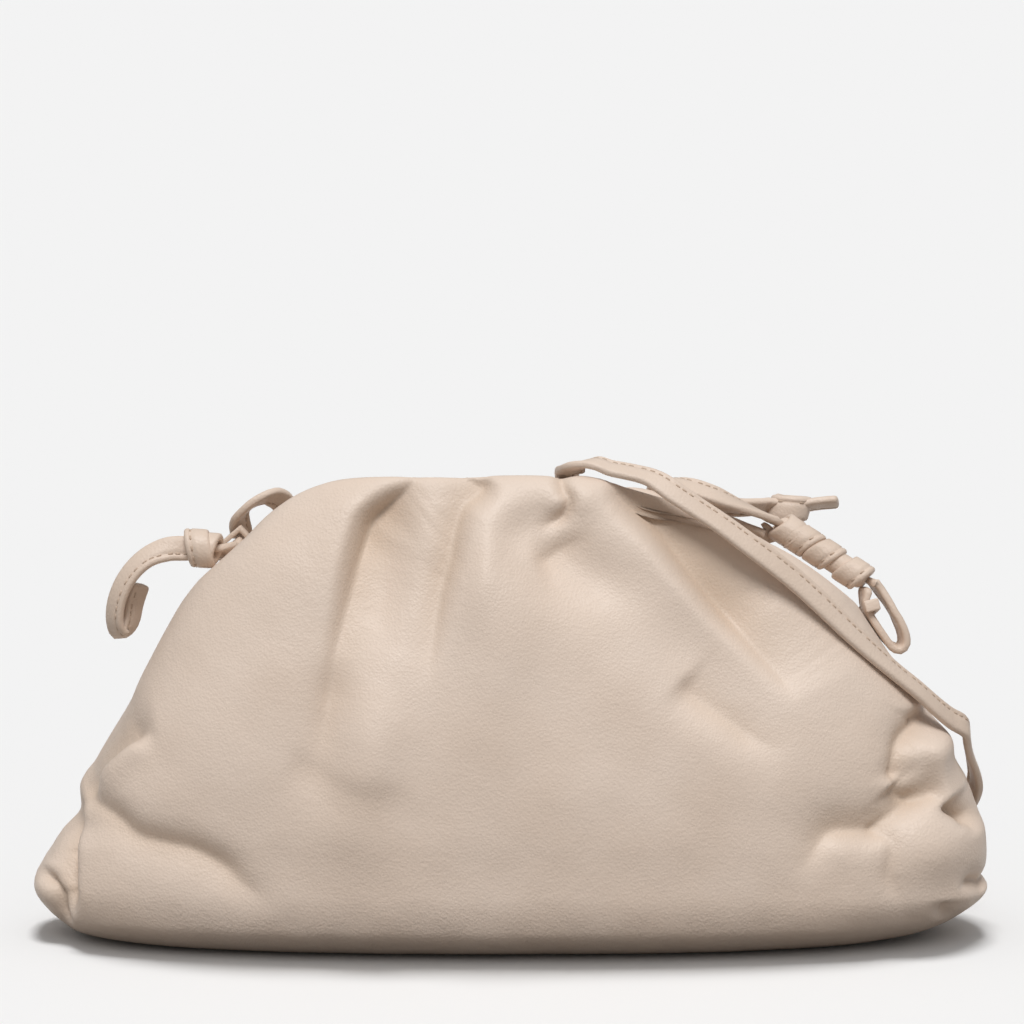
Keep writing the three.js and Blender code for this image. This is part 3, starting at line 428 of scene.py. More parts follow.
def even_turns(start, end, count):
    """Turns from start to end that lie evenly round the pouch, a little above its middle."""
    turns = np.linspace(start, end, FINE_STEPS)
    ring = smooth_point(turns, np.full(turns.shape, EVEN_SECTION))
    length = np.concatenate([[0], np.cumsum(np.linalg.norm(np.diff(ring, axis=0), axis=1))])
    return np.interp(np.linspace(0, length[-1], count, endpoint=False), length, turns)


def new_object(name, points, faces, material, attributes=None):
    """A smooth-shaded object from points in millimetres."""
    mesh = bpy.data.meshes.new(name)
    points = np.asarray(points, float).reshape(-1, 3) * METRES
    mesh.from_pydata(points.tolist(), [], faces)
    mesh.shade_smooth()
    for key, values in (attributes or {}).items():
        attribute = mesh.attributes.new(key, "FLOAT", "POINT")
        attribute.data.foreach_set("value", np.asarray(values, np.float32).ravel())
    mesh.materials.append(material)
    thing = bpy.data.objects.new(name, mesh)
    bpy.context.scene.collection.objects.link(thing)
    return thing


def ring_faces(rings, count, closed_along=False, first=0):
    """Quads between rings of equally many points."""
    faces = []
    for i in range(rings if closed_along else rings - 1):
        here = first + i * count
        there = first + ((i + 1) % rings) * count
        for j in range(count):
            k = (j + 1) % count
            faces.append((here + j, here + k, there + k, there + j))
    return faces


def make_pouch(leather, lining):
    turns = np.concatenate([even_turns(0, 180, COLUMNS_BACK), even_turns(180, 360, COLUMNS_FRONT)])
    fine = np.linspace(BASE_SECTION, TOP_SECTION, FINE_STEPS)
    profile = smooth_point(np.full(fine.shape, PROFILE_TURN), fine)
    length = np.concatenate([[0], np.cumsum(np.linalg.norm(np.diff(profile, axis=0), axis=1))])
    outside = np.interp(np.linspace(0, length[-1], ROWS_OUTSIDE + 1), length, fine)
    base = np.linspace(FIRST_OUTSIDE, BASE_SECTION, ROWS_BASE, endpoint=False)
    heights = np.concatenate([base, outside])
    turn_grid, u_grid = np.meshgrid(turns, heights)
    skin, crease_shade, wrinkled = folded_point(turn_grid, u_grid)
    inward = np.linspace(TOP_SECTION, LAST_INSIDE, ROWS_INSIDE)
    turn_in, u_in = np.meshgrid(turns, inward)
    inner, crease_shade_in, wrinkle_in = folded_point(turn_in, u_in)
    inner = inner - normal_of_smooth(turn_in, np.maximum(u_in, LAST_INSIDE)) * LEATHER
    points = np.concatenate([skin, inner]).reshape(-1, 3)
    rows, count = len(heights) + ROWS_INSIDE, len(turns)
    faces = ring_faces(rows, count)
    faces.append(tuple(reversed(range(count))))
    faces.append(tuple(range((rows - 1) * count, rows * count)))
    # The crease mask darkens the leather's colour in its creases as painted shade; the wrinkle mask only
    # drives bumps.
    wrinkle_and_shade_marks = {
        "crease_shade": np.concatenate([crease_shade, crease_shade_in]),
        "wrinkled": np.concatenate([wrinkled, wrinkle_in]),
    }
    pouch = new_object("pouch_leather", points, faces, leather, wrinkle_and_shade_marks)
    pouch.data.materials.append(lining)
    inside_starts = (len(heights) + 1) * count
    slots = np.zeros(len(faces), np.int32)
    slots[inside_starts:] = 1
    slots[-2] = 0
    pouch.data.polygons.foreach_set("material_index", slots)
    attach(pouch, "root")
    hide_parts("pouch")
    return pouch


# The strap's routes, point by point as in the part's source
LIE_HALF = STRAP_THICKNESS / 2 + CLEARANCE
TURN_UNIT = 12
FACE_TIP = 8
FRAME_STEP = 1.0


def above(turn, section, distance):
    turn, section = np.atleast_1d(turn).astype(float), np.atleast_1d(section).astype(float)
    face = normal_of_smooth(turn, section)
    return smooth_point(turn, section) + face * np.reshape(distance, (-1, 1)), face


def turned(vectors, axis, angle):
    """Vectors turned about unit axes by an angle in radians."""
    angle = np.reshape(angle, (-1, 1))
    along = np.sum(vectors * axis, axis=-1, keepdims=True) * axis
    return along + (vectors - along) * np.cos(angle) + np.cross(axis, vectors) * np.sin(angle)


WAY_STEP = 0.02


def along_pouch(rows, bends_to=0):
    """Places and faces of a strap along the pouch through rows of (turn, section, lift, flip, tip)."""
    rows = np.array([(*row, *(1, 0)[len(row) - 3:]) for row in rows], float)
    shares = np.linspace(0, 1, 2 * (len(rows) - 1) + 1)
    unrolled = rows[:, :3] / (TURN_UNIT, 1, 1)
    places = spline(unrolled, shares)
    flips = spline(np.stack([rows[:, 3], rows[:, 4], 0 * rows[:, 3]], axis=1), shares, centripetal=False)
    flip, tip = np.clip(flips[:, :1], -1, 1), np.radians(flips[:, 1])
    turn, section = places[:, 0] * TURN_UNIT, places[:, 1]
    swell = np.maximum(leather_relief(smooth_point(turn, section), turn, fine=False)[0], 0)
    edge = np.sin(np.abs(tip)) * STRAP_WIDTH / 2
    at, face = above(turn, section, LIE_HALF + edge + swell + places[:, 2] * STRAP_THICKNESS)
    step = 1e-4
    way = unit(spline(unrolled, shares + step) - spline(unrolled, shares - step))
    next_at = smooth_point(turn + way[:, 0] * TURN_UNIT * WAY_STEP, section + way[:, 1] * WAY_STEP)
    along = unit(next_at - smooth_point(turn, section))
    sideways = turned(around_pouch(turn, section), face, math.radians(bends_to))
    return at, turned(face * flip + sideways * np.sqrt(1 - flip**2), along, tip)


def along_floor(rows):
    """Places and faces on the floor behind the pouch through rows of (x, y, rise)."""
    rows = np.array([row if len(row) == 3 else (*row, 0) for row in rows], float)
    x, y, rise = rows.T
    at = np.stack([x * BAG_WIDTH / 2, BAG_DEPTH / 2 + y * FLOOR_REACH, LIE_HALF + rise * FLOOR_REACH], axis=1)
    return at, unit(np.stack([0 * rise, FACE_TIP * rise, 1 + 0 * rise], axis=1))


Frames = namedtuple("Frames", "at along face")


def frames_through(at, face):
    """Frames a millimetre apart on a smooth curve. The floor holds it up."""
    fine = np.linspace(0, 1, 20 * len(at) + 1)
    path = spline(at, fine)
    length = np.concatenate([[0], np.cumsum(np.linalg.norm(np.diff(path, axis=0), axis=1))])
    count = round(length[-1] / FRAME_STEP)
    share = np.interp(np.linspace(0, length[-1], count + 1), length, fine)
    places = spline(at, share)
    places[:, 2] = np.maximum(places[:, 2], LIE_HALF)
    step = 1e-4
    along = unit(spline(at, np.minimum(share + step, 1)) - spline(at, np.maximum(share - step, 0)))
    return Frames(places, along, unit(spline(face, share)))


STRAP_ROUTE = (
    along_pouch((
        (171.6, 10.85, 0.6), (168.5, 10.8, 0), (163, 10.65, 0), (157, 10.4, 0), (152, 10.2, 0),
        (148.5, 10.12, 0.4), (149, 10.27, 1.1), (151, 10.5, 1.8), (152.5, 10.85, 2.4), (150.8, 11.35, 2.4),
        (145.5, 11.5, 1.7), (140.5, 11.05, 0.9), (135, 10.3, 0.3), (129, 9.4, 0.1), (122, 7.6, 0),
        (119, 6, 0.1), (118, 4.9, 0.5),
    )),
    along_floor((
        (-0.535, 0.07, 0.12), (-0.535, 0.17, 0.025), (-0.53, 0.32), (-0.52, 0.5), (-0.49, 0.75),
        (-0.36, 1.03), (-0.14, 1.06), (0.03, 0.8), (0.1, 0.5), (0.13, 0.32), (0.14, 0.17, 0.025),
        (0.145, 0.07, 0.12),
    )),
    along_pouch((
        (84.5, 4.9, 0.5), (84, 6, 0.1), (84, 7.6, 0), (84, 9.4, 0), (84, 11, 0), (84, 12.1, 0.2),
    )),
    along_pouch((
        (277, 12.45, 0.1, 1, 10), (280, 12.15, 0.3, 1, 25), (284.3, 12.05, 0.15, 1, 28),
        (288.7, 11.95, 0.1, 1, 25), (292.7, 11.65, 0.1, 1, 12), (297.1, 11.38, 0.1), (306.7, 10.77, 0),
        (317.9, 10.23, 0), (329.9, 9.41, 0), (341.3, 8.5, 0.2), (350, 7.8, 0.6, 1, 10),
        (357, 7.35, 0.9, 1, 18), (363, 6.9, 0.9, 1, 15), (371, 6.2, 0.7, 1, 5),
        (380, 5.5, 0.6), (388, 4.8, 0.8),
    )),
    along_floor((
        (0.965, -0.2, 0.05), (0.985, -0.06, 0.01), (1, 0.08), (1, 0.25), (0.93, 0.65), (0.79, 0.95),
        (0.58, 0.98), (0.42, 0.75), (0.37, 0.5), (0.345, 0.32), (0.34, 0.17, 0.025), (0.34, 0.07, 0.12),
    )),
    along_pouch((
        (72, 4.9, 0.5), (71, 6, 0.1), (70, 7.6, 0), (70, 9.4, 0), (70, 10.9, 0.1),
        (67.5, 11.9, 0.7, 1, 10), (62, 12.1, 0.6, 1, 25), (54, 11.85, 0.6, 1, 25), (46.3, 11.4, 1.8, 1, 12),
    )),
)
BIGHT_ROUTE = along_pouch((
    (12, 10.72, 3, 1), (9, 10.05, 3, 1), (7, 9.6, 2.8, 1), (5.8, 9.2, 2.5, 0.9), (5.4, 8.92, 2, 0.6),
    (5.3, 8.8, 1.1, 0), (5.4, 8.92, 0.2, -0.8), (6, 9.25, 0, -1), (7.2, 9.6, 0, -1), (8.8, 10, 0.1, -1),
    (10.8, 10.4, 0.7, -1),
), bends_to=-90)
FREE_ROUTE = along_pouch((
    (47.7, 10.85, 0.25, -1), (52, 10.85, 0, -1), (57, 10.85, 0, -1), (62, 10.75, 0.1, -0.9),
    (65, 10.55, 0.7, -0.5), (65.5, 10.45, 1.5, 0.2), (63.5, 10.6, 2.3, 0.8), (60, 10.75, 2.7, 1),
    (55, 10.8, 3.6, 1), (50.9, 10.75, 5.5, 1),
))

# Where the knots sit, and how their turns lie. Along in strap widths, the rest in thicknesses.
LEFT_KNOT = above(180, 10.42, 3.3 * STRAP_THICKNESS)[0][0]
LEFT_KNOT_AXIS = unit(np.array([-1, 0, 0.05]))
WINDING_RADIUS = 1.5
KNOT_SEAT = (WINDING_RADIUS + 1.3) * STRAP_THICKNESS + CLEARANCE
SLIDE_START = above(45.5, 11.15, KNOT_SEAT)[0][0]
SLIDE_END = above(12.5, 10.9, KNOT_SEAT)[0][0]
SLIDE_AXIS = unit(SLIDE_END - SLIDE_START)
SLIDE_KNOT = (SLIDE_START + SLIDE_END) / 2
SLIDE_LENGTH = np.linalg.norm(SLIDE_END - SLIDE_START) / STRAP_WIDTH
STOPPER_KNOT = above(46.5, 10.7, 7.4 * STRAP_THICKNESS)[0][0]
STOPPER_AXIS = unit(np.array([0.25, 0.1, 1]))
UPWARD = np.array([0.0, 0, 1])
FORWARD = np.array([0.0, -1, 0])
Winding = namedtuple("Winding", "along deep wide lean slant")
LEFT_WINDINGS = (Winding(0.05, 1.9, 1.8, 0.5, 0), Winding(-0.2, 1.5, 1.6, -0.5, 60))
SLIDE_WINDINGS = (
    Winding(-0.37 * SLIDE_LENGTH, WINDING_RADIUS, WINDING_RADIUS, 0.9, 30),
    Winding(-0.2 * SLIDE_LENGTH, WINDING_RADIUS, WINDING_RADIUS, 0.7, -20),
    Winding(0.03 * SLIDE_LENGTH, WINDING_RADIUS, WINDING_RADIUS, 0.8, 0),
    Winding(0.36 * SLIDE_LENGTH, WINDING_RADIUS, WINDING_RADIUS, 0.7, 10),
)
STOPPER_WINDINGS = (Winding(0.05, 1.5, 2.1, 0.4, 90), Winding(-0.15, 1.2, 1.7, -0.5, 60))
Core = namedtuple("Core", "deep wide length")
LEFT_CORE = Core(1.3, 1.3, 1)
SLIDE_CORE = Core(1.5, 1.5, SLIDE_LENGTH)
STOPPER_CORE = Core(1.1, 1.5, 0.9)

# The left tail and the stopper's cut end. Offsets in strap widths, and which way the face looks.
LEFT_TAIL = (
    (0.62, 0, 0, 0, 0.3), (1.3, -0.1, -0.02, 0.1, 0.5), (2.15, -0.2, -0.35, 0.6, 0.9),
    (2.9, -0.3, -1.1, 1, 0.7), (3.35, -0.3, -2.1, 1.2, 0.2), (3.42, -0.15, -3, 1.2, -0.4),
    (3.2, 0.1, -3.45, 0.1, -2), (2.88, 0.35, -3.05, -1.2, -0.7), (2.72, 0.5, -2.3, -1.2, -0.3),
    (2.45, 0.55, -1.5, -1.1, -0.6),
)
STOPPER_TAIL = ((1.02, 0, 0.2), (1.45, 0, 0.25), (2, -0.05, 0.3))
KEEPER_ON_STRAP = 0.9
KEEPER_ON_BIGHT = 5.1

# The strap's section, and its stitches
STITCH_ACROSS = 0.5  # place of the seam, as a share of half the width
GROOVE_DEPTH = 0.22
GROOVE_HALF = 0.45
EDGE_ROUND = 0.7
STITCH_PITCH = 2.3
STITCH_LENGTH = 1.25
STITCH_RADIUS = 0.24


def strap_outline():
    """Section of the strap: round edges, crowned faces, and the seam's groove in both faces."""
    w, t = STRAP_WIDTH / 2, STRAP_THICKNESS / 2
    seam = STITCH_ACROSS * w
    bottom = 0.4 * GROOVE_HALF
    flat = [-w + EDGE_ROUND, -0.5 * w, 0, seam - GROOVE_HALF, seam - bottom, seam + bottom,
            seam + GROOVE_HALF, w - EDGE_ROUND]
    sunk = [0, 0, 0, 0, 1, 1, 0, 0]
    face = [(x, t - 0.1 * (x / w) ** 2 - GROOVE_DEPTH * s) for x, s in zip(flat, sunk)]
    angles = [math.radians(a) for a in (55, 25, -25, -55)]
    edge_rise = t - 0.1
    right = [(w - EDGE_ROUND + EDGE_ROUND * math.cos(a), edge_rise * math.sin(a)) for a in angles]
    under = [(x, -z) for x, z in reversed(face)]
    left = [(-x, -z) for x, z in right]
    return np.array(face + right + under + left)


def strap_rings(frames, narrow=None):
    outline = strap_outline()
    side = unit(np.cross(frames.along, frames.face))
    out = unit(np.cross(side, frames.along))
    size = np.ones(len(frames.at)) if narrow is None else narrow
    across = outline[:, 0][None, :, None] * size[:, None, None]
    off = outline[:, 1][None, :, None] * size[:, None, None]
    return frames.at[:, None, :] - side[:, None, :] * across + out[:, None, :] * off


def strap_skin(frames, closed=False):
    """Points and faces of a strap along its frames, with rounded ends where it doesn't close."""
    if closed:
        rings = strap_rings(frames)
        return rings.reshape(-1, 3), ring_faces(len(rings), rings.shape[1], closed_along=True)
    ends = np.array([0.35, 0.75, 0.93])
    push = np.array([0, 0.22, 0.5])
    narrow = np.concatenate([ends, np.ones(len(frames.at) - 2), ends[::-1]])
    start = frames.at[0] + frames.along[0] * push[:, None]
    finish = frames.at[-1] - frames.along[-1] * push[::-1, None]

    def with_ends(ways):
        first, last = (np.repeat(way, len(ends), axis=0) for way in (ways[:1], ways[-1:]))
        return np.concatenate([first, ways[1:-1], last])

    longer = Frames(
        np.concatenate([start, frames.at[1:-1], finish]),
        with_ends(frames.along),
        with_ends(frames.face),
    )
    rings = strap_rings(longer, narrow)
    count = rings.shape[1]
    faces = ring_faces(len(rings), count)
    faces.append(tuple(reversed(range(count))))
    faces.append(tuple(range((len(rings) - 1) * count, len(rings) * count)))
    return rings.reshape(-1, 3), faces


def stitch_skin(frames, closed=False):
    """Threads of the seam on both faces of a strap: short round-ended rods sunk in the groove."""
    length = np.concatenate([[0], np.cumsum(np.linalg.norm(np.diff(frames.at, axis=0), axis=1))])
    spots = np.arange(STITCH_PITCH, length[-1] - (0 if closed else STITCH_PITCH), STITCH_PITCH)
    pick = np.round(np.interp(spots, length, np.arange(len(length)))).astype(int)
    side = unit(np.cross(frames.along, frames.face))[pick]
    out = unit(np.cross(side, frames.along[pick]))
    sides, rings = 6, (-0.5, -0.3, 0.3, 0.5)
    angles = np.arange(sides) * 2 * math.pi / sides
    points, faces = [], []
    for top in (1, -1):
        for k, i in enumerate(pick):
            middle = frames.at[i] - side[k] * STITCH_ACROSS * STRAP_WIDTH / 2
            middle = middle + out[k] * top * (STRAP_THICKNESS / 2 - GROOVE_DEPTH)
            first = len(points)
            for share in rings:
                radius = STITCH_RADIUS * (1 if abs(share) < 0.4 else 0.45)
                centre = middle + frames.along[i] * share * STITCH_LENGTH
                points.extend(
                    centre + radius * (side[k] * math.cos(a) + out[k] * math.sin(a)) for a in angles
                )
            faces.extend(ring_faces(len(rings), sides, first=first))
            faces.append(tuple(first + j for j in reversed(range(sides))))
            faces.append(tuple(first + (len(rings) - 1) * sides + j for j in range(sides)))
    return points, faces


def join_skins(skins):
    points, faces = [], []
    for skin_points, skin_faces in skins:
        first = sum(len(p) for p in points)
        points.append(np.asarray(skin_points, float).reshape(-1, 3))
        faces.extend(tuple(first + i for i in face) for face in skin_faces)
    return np.concatenate(points), faces


def make_strap_piece(name, node, skins, threads, leather, thread):
    """A piece of the strap that stands for a node, with the threads of its seam."""
    piece = new_object(name, *join_skins(skins), leather)
    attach(piece, "root")
    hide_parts(node)
    seam = new_object(name + "_stitches", *join_skins(threads), thread)
    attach(seam, "root")
    return piece


WINDING_STEPS = 64


def winding_frames(centre, axis, up, winding):
    """One turn of the strap round an axis, as a closed band."""
    across = unit(np.cross(axis, up))
    upright = unit(np.cross(across, axis))
    deep, wide, lean = (v * STRAP_THICKNESS for v in (winding.deep, winding.wide, winding.lean))
    middle = centre + axis * winding.along * STRAP_WIDTH

    def point(angle):
        angle = angle[:, None]
        swing = lean * np.cos(angle - math.radians(winding.slant))
        return middle + upright * deep * np.cos(angle) + across * wide * np.sin(angle) + axis * swing

    angle = np.linspace(0, 2 * math.pi, WINDING_STEPS, endpoint=False)
    small = math.pi / WINDING_STEPS
    face = upright * (np.cos(angle) / deep)[:, None] + across * (np.sin(angle) / wide)[:, None]
    return Frames(point(angle), unit(point(angle + small) - point(angle - small)), unit(face))


def core_skin(centre, axis, up, core):
    """What a knot's turns are drawn tight on: a barrel with round ends."""
    across = unit(np.cross(axis, up))
    upright = unit(np.cross(across, axis))
    half = core.length * STRAP_WIDTH / 2
    profile = ((-1, 0.55), (-0.93, 0.85), (-0.8, 1), (0.8, 1), (0.93, 0.85), (1, 0.55))
    sides = 24
    rings = []
    for share, size in profile:
        for j in range(sides):
            a = 2 * math.pi * j / sides
            off = across * core.wide * math.cos(a) + upright * core.deep * math.sin(a)
            rings.append(centre + axis * half * share + off * size * STRAP_THICKNESS)
    faces = ring_faces(len(profile), sides)
    faces.append(tuple(reversed(range(sides))))
    faces.append(tuple(range((len(profile) - 1) * sides, len(profile) * sides)))
    return rings, faces


def make_knot(name, node, centre, axis, up, windings, core, leather, thread):
    bands = [winding_frames(centre, axis, up, winding) for winding in windings]
    skins = [strap_skin(band, closed=True) for band in bands] + [core_skin(centre, axis, up, core)]
    make_strap_piece(name, node, skins, [stitch_skin(band, closed=True) for band in bands], leather, thread)


def make_keeper(name, node, frames, index, under, leather):
    """A small loop of leather over the strap, with rounded edges."""
    up = frames.face[index] * under
    along = frames.along[index]
    side = unit(np.cross(up, along))
    out = np.cross(along, side)
    x, y = STRAP_WIDTH / 2 + KEEPER_ROOM, STRAP_THICKNESS / 2 + KEEPER_ROOM
    outside, top, foot = x + KEEPER_THICKNESS, y + KEEPER_THICKNESS, -STRAP_THICKNESS / 2
    outline = (
        (-outside, foot), (-x, foot), (-x, y), (x, y), (x, foot), (outside, foot), (outside, top),
        (-outside, top),
    )
    count = len(outline)
    points = [
        frames.at[index] + side * across + out * high + along * end * KEEPER_WIDTH / 2
        for end in (-1, 1)
        for across, high in outline
    ]
    faces = ring_faces(2, count)
    faces.append(tuple(reversed(range(count))))
    faces.append(tuple(range(count, 2 * count)))
    keeper = new_object(name, points, faces, leather)
    soften = keeper.modifiers.new("soft edges", "BEVEL")
    soften.width = 0.45 * METRES
    soften.segments = 3
    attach(keeper, "root")
    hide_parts(node)


INTO_KNOT = (0.6, 0.3)  # shares of the way from a knot's middle at which a strap runs on inside it


def reaching(frames, first=None, last=None):
    """Frames that also run on into the knots whose middles are given for their first and last end."""
    for middle, end in ((first, 0), (last, -1)):
        if middle is None:
            continue
        shares = np.array(INTO_KNOT if end else INTO_KNOT[::-1])[:, None]
        at = middle + (frames.at[end] - middle) * shares
        way = unit((middle - frames.at[end]) * (1 if end else -1))
        more = Frames(at, np.tile(way, (len(at), 1)), np.tile(frames.face[end], (len(at), 1)))
        pair = (frames, more) if end else (more, frames)
        frames = Frames(*(np.concatenate(parts) for parts in zip(*pair)))
    return frames


def make_strap(leather, thread, keeper_leather):
    main = frames_through(*(np.concatenate(part) for part in zip(*STRAP_ROUTE)))
    bight = frames_through(*BIGHT_ROUTE)
    free = frames_through(*FREE_ROUTE)
    out, back, up, face_out, face_up = np.array(LEFT_TAIL).T
    tail = frames_through(
        LEFT_KNOT + np.stack([-out, back, up], axis=1) * STRAP_WIDTH,
        unit(np.stack([-face_out, 0 * out - 1, face_up], axis=1)),
    )
    end_at = STOPPER_KNOT + np.array(STOPPER_TAIL) * STRAP_WIDTH
    end = frames_through(end_at, np.tile(unit(np.array([0, 0.5, 1])), (len(end_at), 1)))
    for name, node, frames in (
        ("strap_main", "strap", reaching(main, LEFT_KNOT, SLIDE_START)),
        ("strap_bight", "bight", reaching(bight, SLIDE_END, SLIDE_END)),
        ("strap_free_end", "free_end", reaching(free, SLIDE_START, STOPPER_KNOT)),
        ("strap_left_tail", "left_tail", reaching(tail, LEFT_KNOT)),
        ("strap_cut_end", "stopper_tail", reaching(end, STOPPER_KNOT)),
    ):
        make_strap_piece(name, node, [strap_skin(frames)], [stitch_skin(frames)], leather, thread)
    for name, node, *shape in (
        ("knot_left", "left_knot", LEFT_KNOT, LEFT_KNOT_AXIS, UPWARD, LEFT_WINDINGS, LEFT_CORE),
        ("knot_sliding", "sliding_knot", SLIDE_KNOT, SLIDE_AXIS, UPWARD, SLIDE_WINDINGS, SLIDE_CORE),
        ("knot_stopper", "stopper_knot", STOPPER_KNOT, STOPPER_AXIS, FORWARD, STOPPER_WINDINGS, STOPPER_CORE),
    ):
        make_knot(name, node, *shape, leather, thread)
    on_strap = round(KEEPER_ON_STRAP * STRAP_WIDTH / FRAME_STEP)
    on_bight = round(KEEPER_ON_BIGHT * STRAP_WIDTH / FRAME_STEP)
    make_keeper("keeper_left", "left_keeper", main, on_strap, 1, keeper_leather)
    make_keeper("keeper_right", "right_keeper", bight, on_bight, -1, keeper_leather)


def linear(red, green, blue):
    """Linear colour of an 8-bit screen colour."""
    values = [c / 255 for c in (red, green, blue)]
    return (*(c / 12.92 if c <= 0.04045 else ((c + 0.055) / 1.055) ** 2.4 for c in values), 1)


class Nodes:
    """Short ways to add nodes to a material."""

    def __init__(self, material):
        material.use_nodes = True
        self.tree = material.node_tree
        self.tree.nodes.clear()
        self.output = self.add("ShaderNodeOutputMaterial")
        self.shader = self.add("ShaderNodeBsdfPrincipled")
        self.link(self.shader.outputs[0], self.output.inputs["Surface"])

    def add(self, kind, **settings):
        node = self.tree.nodes.new(kind)
        for key, value in settings.items():
            setattr(node, key, value)
        return node

    def link(self, source, target):
        self.tree.links.new(source, target)

    def noise(self, where, scale, detail=2, roughness=0.5):
        node = self.add("ShaderNodeTexNoise")
        node.inputs["Scale"].default_value = scale
        node.inputs["Detail"].default_value = detail
        node.inputs["Roughness"].default_value = roughness
        self.link(where, node.inputs["Vector"])
        return node.outputs["Fac"]

    def cells(self, where, scale):
        node = self.add("ShaderNodeTexVoronoi", feature="SMOOTH_F1")
        node.inputs["Scale"].default_value = scale
        node.inputs["Smoothness"].default_value = 0.35
        self.link(where, node.inputs["Vector"])
        return node.outputs["Distance"]

    def math(self, operation, a, b):
        node = self.add("ShaderNodeMath", operation=operation)
        for value, socket in ((a, node.inputs[0]), (b, node.inputs[1])):
            if isinstance(value, (int, float)):
                socket.default_value = value
            else:
                self.link(value, socket)
        return node.outputs[0]

    def mix(self, factor, a, b):
        node = self.add("ShaderNodeMix", data_type="RGBA")
        self.link(factor, node.inputs["Factor"])
        for value, socket in ((a, node.inputs["A"]), (b, node.inputs["B"])):
            if isinstance(value, tuple):
                socket.default_value = value
            else:
                self.link(value, socket)
        return node.outputs["Result"]

    def range(self, value, low, high, to_low=0.0, to_high=1.0):
        node = self.add("ShaderNodeMapRange")
        for key, number in (("From Min", low), ("From Max", high), ("To Min", to_low), ("To Max", to_high)):
            node.inputs[key].default_value = number
        self.link(value, node.inputs["Value"])
        return node.outputs["Result"]

    def bump(self, height, distance, strength=1.0, before=None):
        node = self.add("ShaderNodeBump")
        node.inputs["Strength"].default_value = strength
        node.inputs["Distance"].default_value = distance
        self.link(height, node.inputs["Height"])
        if before:
            self.link(before, node.inputs["Normal"])
        return node.outputs["Normal"]


def leather_material(name, base, worn, roughness, wrinkled_and_shaded):
    """Soft nappa: two close tones, a fine pebbled grain, wrinkles round its creases, and painted shade that
    darkens the creases.
    """
    material = bpy.data.materials.new(name)
    nodes = Nodes(material)
    where = nodes.add("ShaderNodeTexCoord").outputs["Object"]
    tone = nodes.range(nodes.noise(where, 38, 3), 0.35, 0.65)
    colour = nodes.mix(tone, base, worn)
    grain = nodes.cells(where, 1500)
    pores = nodes.noise(where, 2600, 2)
    surface = nodes.math("ADD", nodes.math("MULTIPLY", grain, 0.8), nodes.math("MULTIPLY", pores, 0.5))
    normal = nodes.bump(surface, 0.00016, 0.55)
    soft = nodes.noise(where, 330, 3)
    normal = nodes.bump(soft, 0.0003, 0.3, normal)
    if wrinkled_and_shaded:
        wrinkled = nodes.add("ShaderNodeAttribute", attribute_name="wrinkled").outputs["Fac"]
        crease_shade = nodes.add("ShaderNodeAttribute", attribute_name="crease_shade").outputs["Fac"]
        height = nodes.math("MULTIPLY", nodes.noise(where, 420, 3, 0.55), wrinkled)
        normal = nodes.bump(height, 0.00045, 0.6, normal)
        # Painted shade: the base colour is darkened and warmed in the creases, by the crease mask.
        crease_shade_colour = tuple(c * f for c, f in zip(base[:3], (0.74, 0.67, 0.57))) + (1,)
        colour = nodes.mix(nodes.math("MULTIPLY", crease_shade, 0.6), colour, crease_shade_colour)
    nodes.link(colour, nodes.shader.inputs["Base Color"])
    patches = nodes.noise(where, 120, 2)
    rough = nodes.range(patches, 0.3, 0.7, roughness - 0.05, roughness + 0.06)
    nodes.link(rough, nodes.shader.inputs["Roughness"])
    nodes.link(normal, nodes.shader.inputs["Normal"])
    nodes.shader.inputs["Specular IOR Level"].default_value = 0.4
    return material


def thread_material():
    material = bpy.data.materials.new("seam thread")
    nodes = Nodes(material)
    where = nodes.add("ShaderNodeTexCoord").outputs["Object"]
    tone = nodes.noise(where, 900, 2)
    colour = nodes.mix(tone, linear(176, 152, 132), linear(205, 185, 166))
    nodes.link(colour, nodes.shader.inputs["Base Color"])
    nodes.shader.inputs["Roughness"].default_value = 0.7
    nodes.link(nodes.bump(nodes.noise(where, 5000, 1), 0.0001, 0.5), nodes.shader.inputs["Normal"])
    return material


def floor_material():
    material = bpy.data.materials.new("pale floor")
    nodes = Nodes(material)
    bounce = nodes.add("ShaderNodeLightPath").outputs["Is Diffuse Ray"]
    nodes.link(nodes.mix(bounce, FLOOR_COLOUR, FLOOR_BOUNCE), nodes.shader.inputs["Base Color"])
    nodes.shader.inputs["Roughness"].default_value = 0.9
    nodes.shader.inputs["Specular IOR Level"].default_value = 0
    return material


FLOOR_HALF = 15.0  # metres
FLOOR_COLOUR = (0.85, 0.85, 0.85, 1)
FLOOR_BOUNCE = (0.36, 0.34, 0.32, 1)  # what the floor gives back to the bag
SKY_LOW = 0.2
SKY_HIGH = 0.52
# What a light shines on, and its elevation and azimuth in degrees, 0 being the front. Angle is how
# large it looks. The floor's light stands behind the bag, whose shadow falls forward.
Sun = namedtuple("Sun", "name shines_on strength elevation azimuth angle")
SUNS = (
    Sun("soft light on the floor", "floor", 2.05, 79, 180, 18),
    Sun("soft light on the bag", "bag", 2.35, 60, 0, 26),
)


def make_sun(sun, lit):
    lamp = bpy.data.lights.new(sun.name, "SUN")
    lamp.energy = sun.strength
    lamp.angle = math.radians(sun.angle)
    thing = bpy.data.objects.new(sun.name, lamp)
    high, round_about = math.radians(sun.elevation), math.radians(sun.azimuth)
    level = math.cos(high)
    towards = Vector((math.sin(round_about) * level, -math.cos(round_about) * level, math.sin(high)))
    thing.rotation_euler = towards.to_track_quat("Z", "Y").to_euler()
    thing.light_linking.receiver_collection = lit[sun.shines_on]
    bpy.context.scene.collection.objects.link(thing)


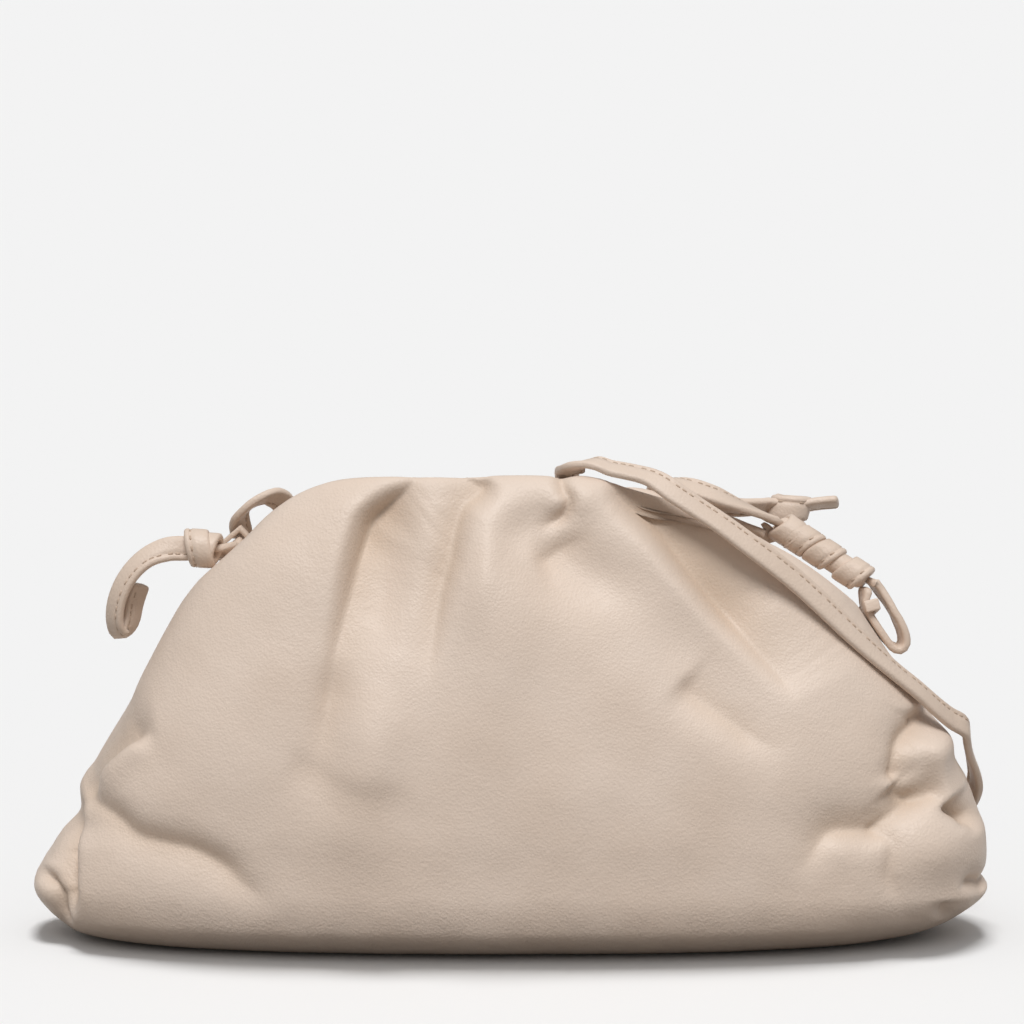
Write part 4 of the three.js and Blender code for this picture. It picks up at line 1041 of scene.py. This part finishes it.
def make_room():
    """A pale floor, a surrounding that is brighter above, and two soft lights."""
    bag = [thing for thing in bpy.context.scene.objects if thing.type == "MESH"]
    corners = [(x * FLOOR_HALF, y * FLOOR_HALF, 0) for x, y in ((-1, -1), (1, -1), (1, 1), (-1, 1))]
    floor = new_object("floor", np.array(corners) / METRES, [(0, 1, 2, 3)], floor_material())
    world = bpy.data.worlds.new("pale surrounding")
    world.use_nodes = True
    tree = world.node_tree
    background = tree.nodes["Background"]
    background.inputs["Color"].default_value = (1, 1, 1, 1)
    way = tree.nodes.new("ShaderNodeTexCoord")
    parts = tree.nodes.new("ShaderNodeSeparateXYZ")
    strength = tree.nodes.new("ShaderNodeMapRange")
    strength.inputs["To Min"].default_value = SKY_LOW
    strength.inputs["To Max"].default_value = SKY_HIGH
    tree.links.new(way.outputs["Generated"], parts.inputs[0])
    tree.links.new(parts.outputs["Z"], strength.inputs["Value"])
    tree.links.new(strength.outputs["Result"], background.inputs["Strength"])
    bpy.context.scene.world = world
    lit = {}
    for name, things in (("floor", [floor]), ("bag", bag)):
        lit[name] = bpy.data.collections.new("lit " + name)
        for thing in things:
            lit[name].objects.link(thing)
    for sun in SUNS:
        make_sun(sun, lit)


def make_camera():
    camera = bpy.data.cameras.new("camera")
    camera.sensor_width = SENSOR
    camera.lens = SENSOR / (PICTURE * PIXEL) * CAMERA_DISTANCE
    camera.clip_end = 100
    eye = bpy.data.objects.new("camera", camera)
    back = CAMERA_DISTANCE * math.cos(CAMERA_ELEVATION)
    high = CAMERA_AIM + CAMERA_DISTANCE * math.sin(CAMERA_ELEVATION)
    eye.location = Vector((0, -back, high)) * METRES
    eye.rotation_euler = (math.pi / 2 - CAMERA_ELEVATION, 0, 0)
    bpy.context.scene.collection.objects.link(eye)
    bpy.context.scene.camera = eye


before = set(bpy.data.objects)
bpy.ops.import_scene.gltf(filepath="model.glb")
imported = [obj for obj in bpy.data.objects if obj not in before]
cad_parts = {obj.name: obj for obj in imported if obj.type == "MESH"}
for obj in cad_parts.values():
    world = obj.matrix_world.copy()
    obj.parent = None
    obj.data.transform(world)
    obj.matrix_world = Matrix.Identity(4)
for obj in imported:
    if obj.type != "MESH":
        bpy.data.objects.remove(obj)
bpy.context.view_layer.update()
make_camera()
cream = leather_material("cream nappa", linear(224, 206, 191), linear(219, 200, 184), 0.5, True)
lining = leather_material("lining", linear(205, 184, 165), linear(196, 174, 155), 0.75, False)
strap_cream = leather_material("strap nappa", linear(220, 201, 185), linear(212, 192, 175), 0.48, False)
thread = thread_material()
make_pouch(cream, lining)
make_strap(strap_cream, thread, strap_cream)
make_room()
bpy.context.scene.view_settings.view_transform = "Standard"
bpy.context.scene.view_settings.look = "None"
bpy.context.scene.view_settings.exposure = 0
bpy.context.scene.view_settings.gamma = 1
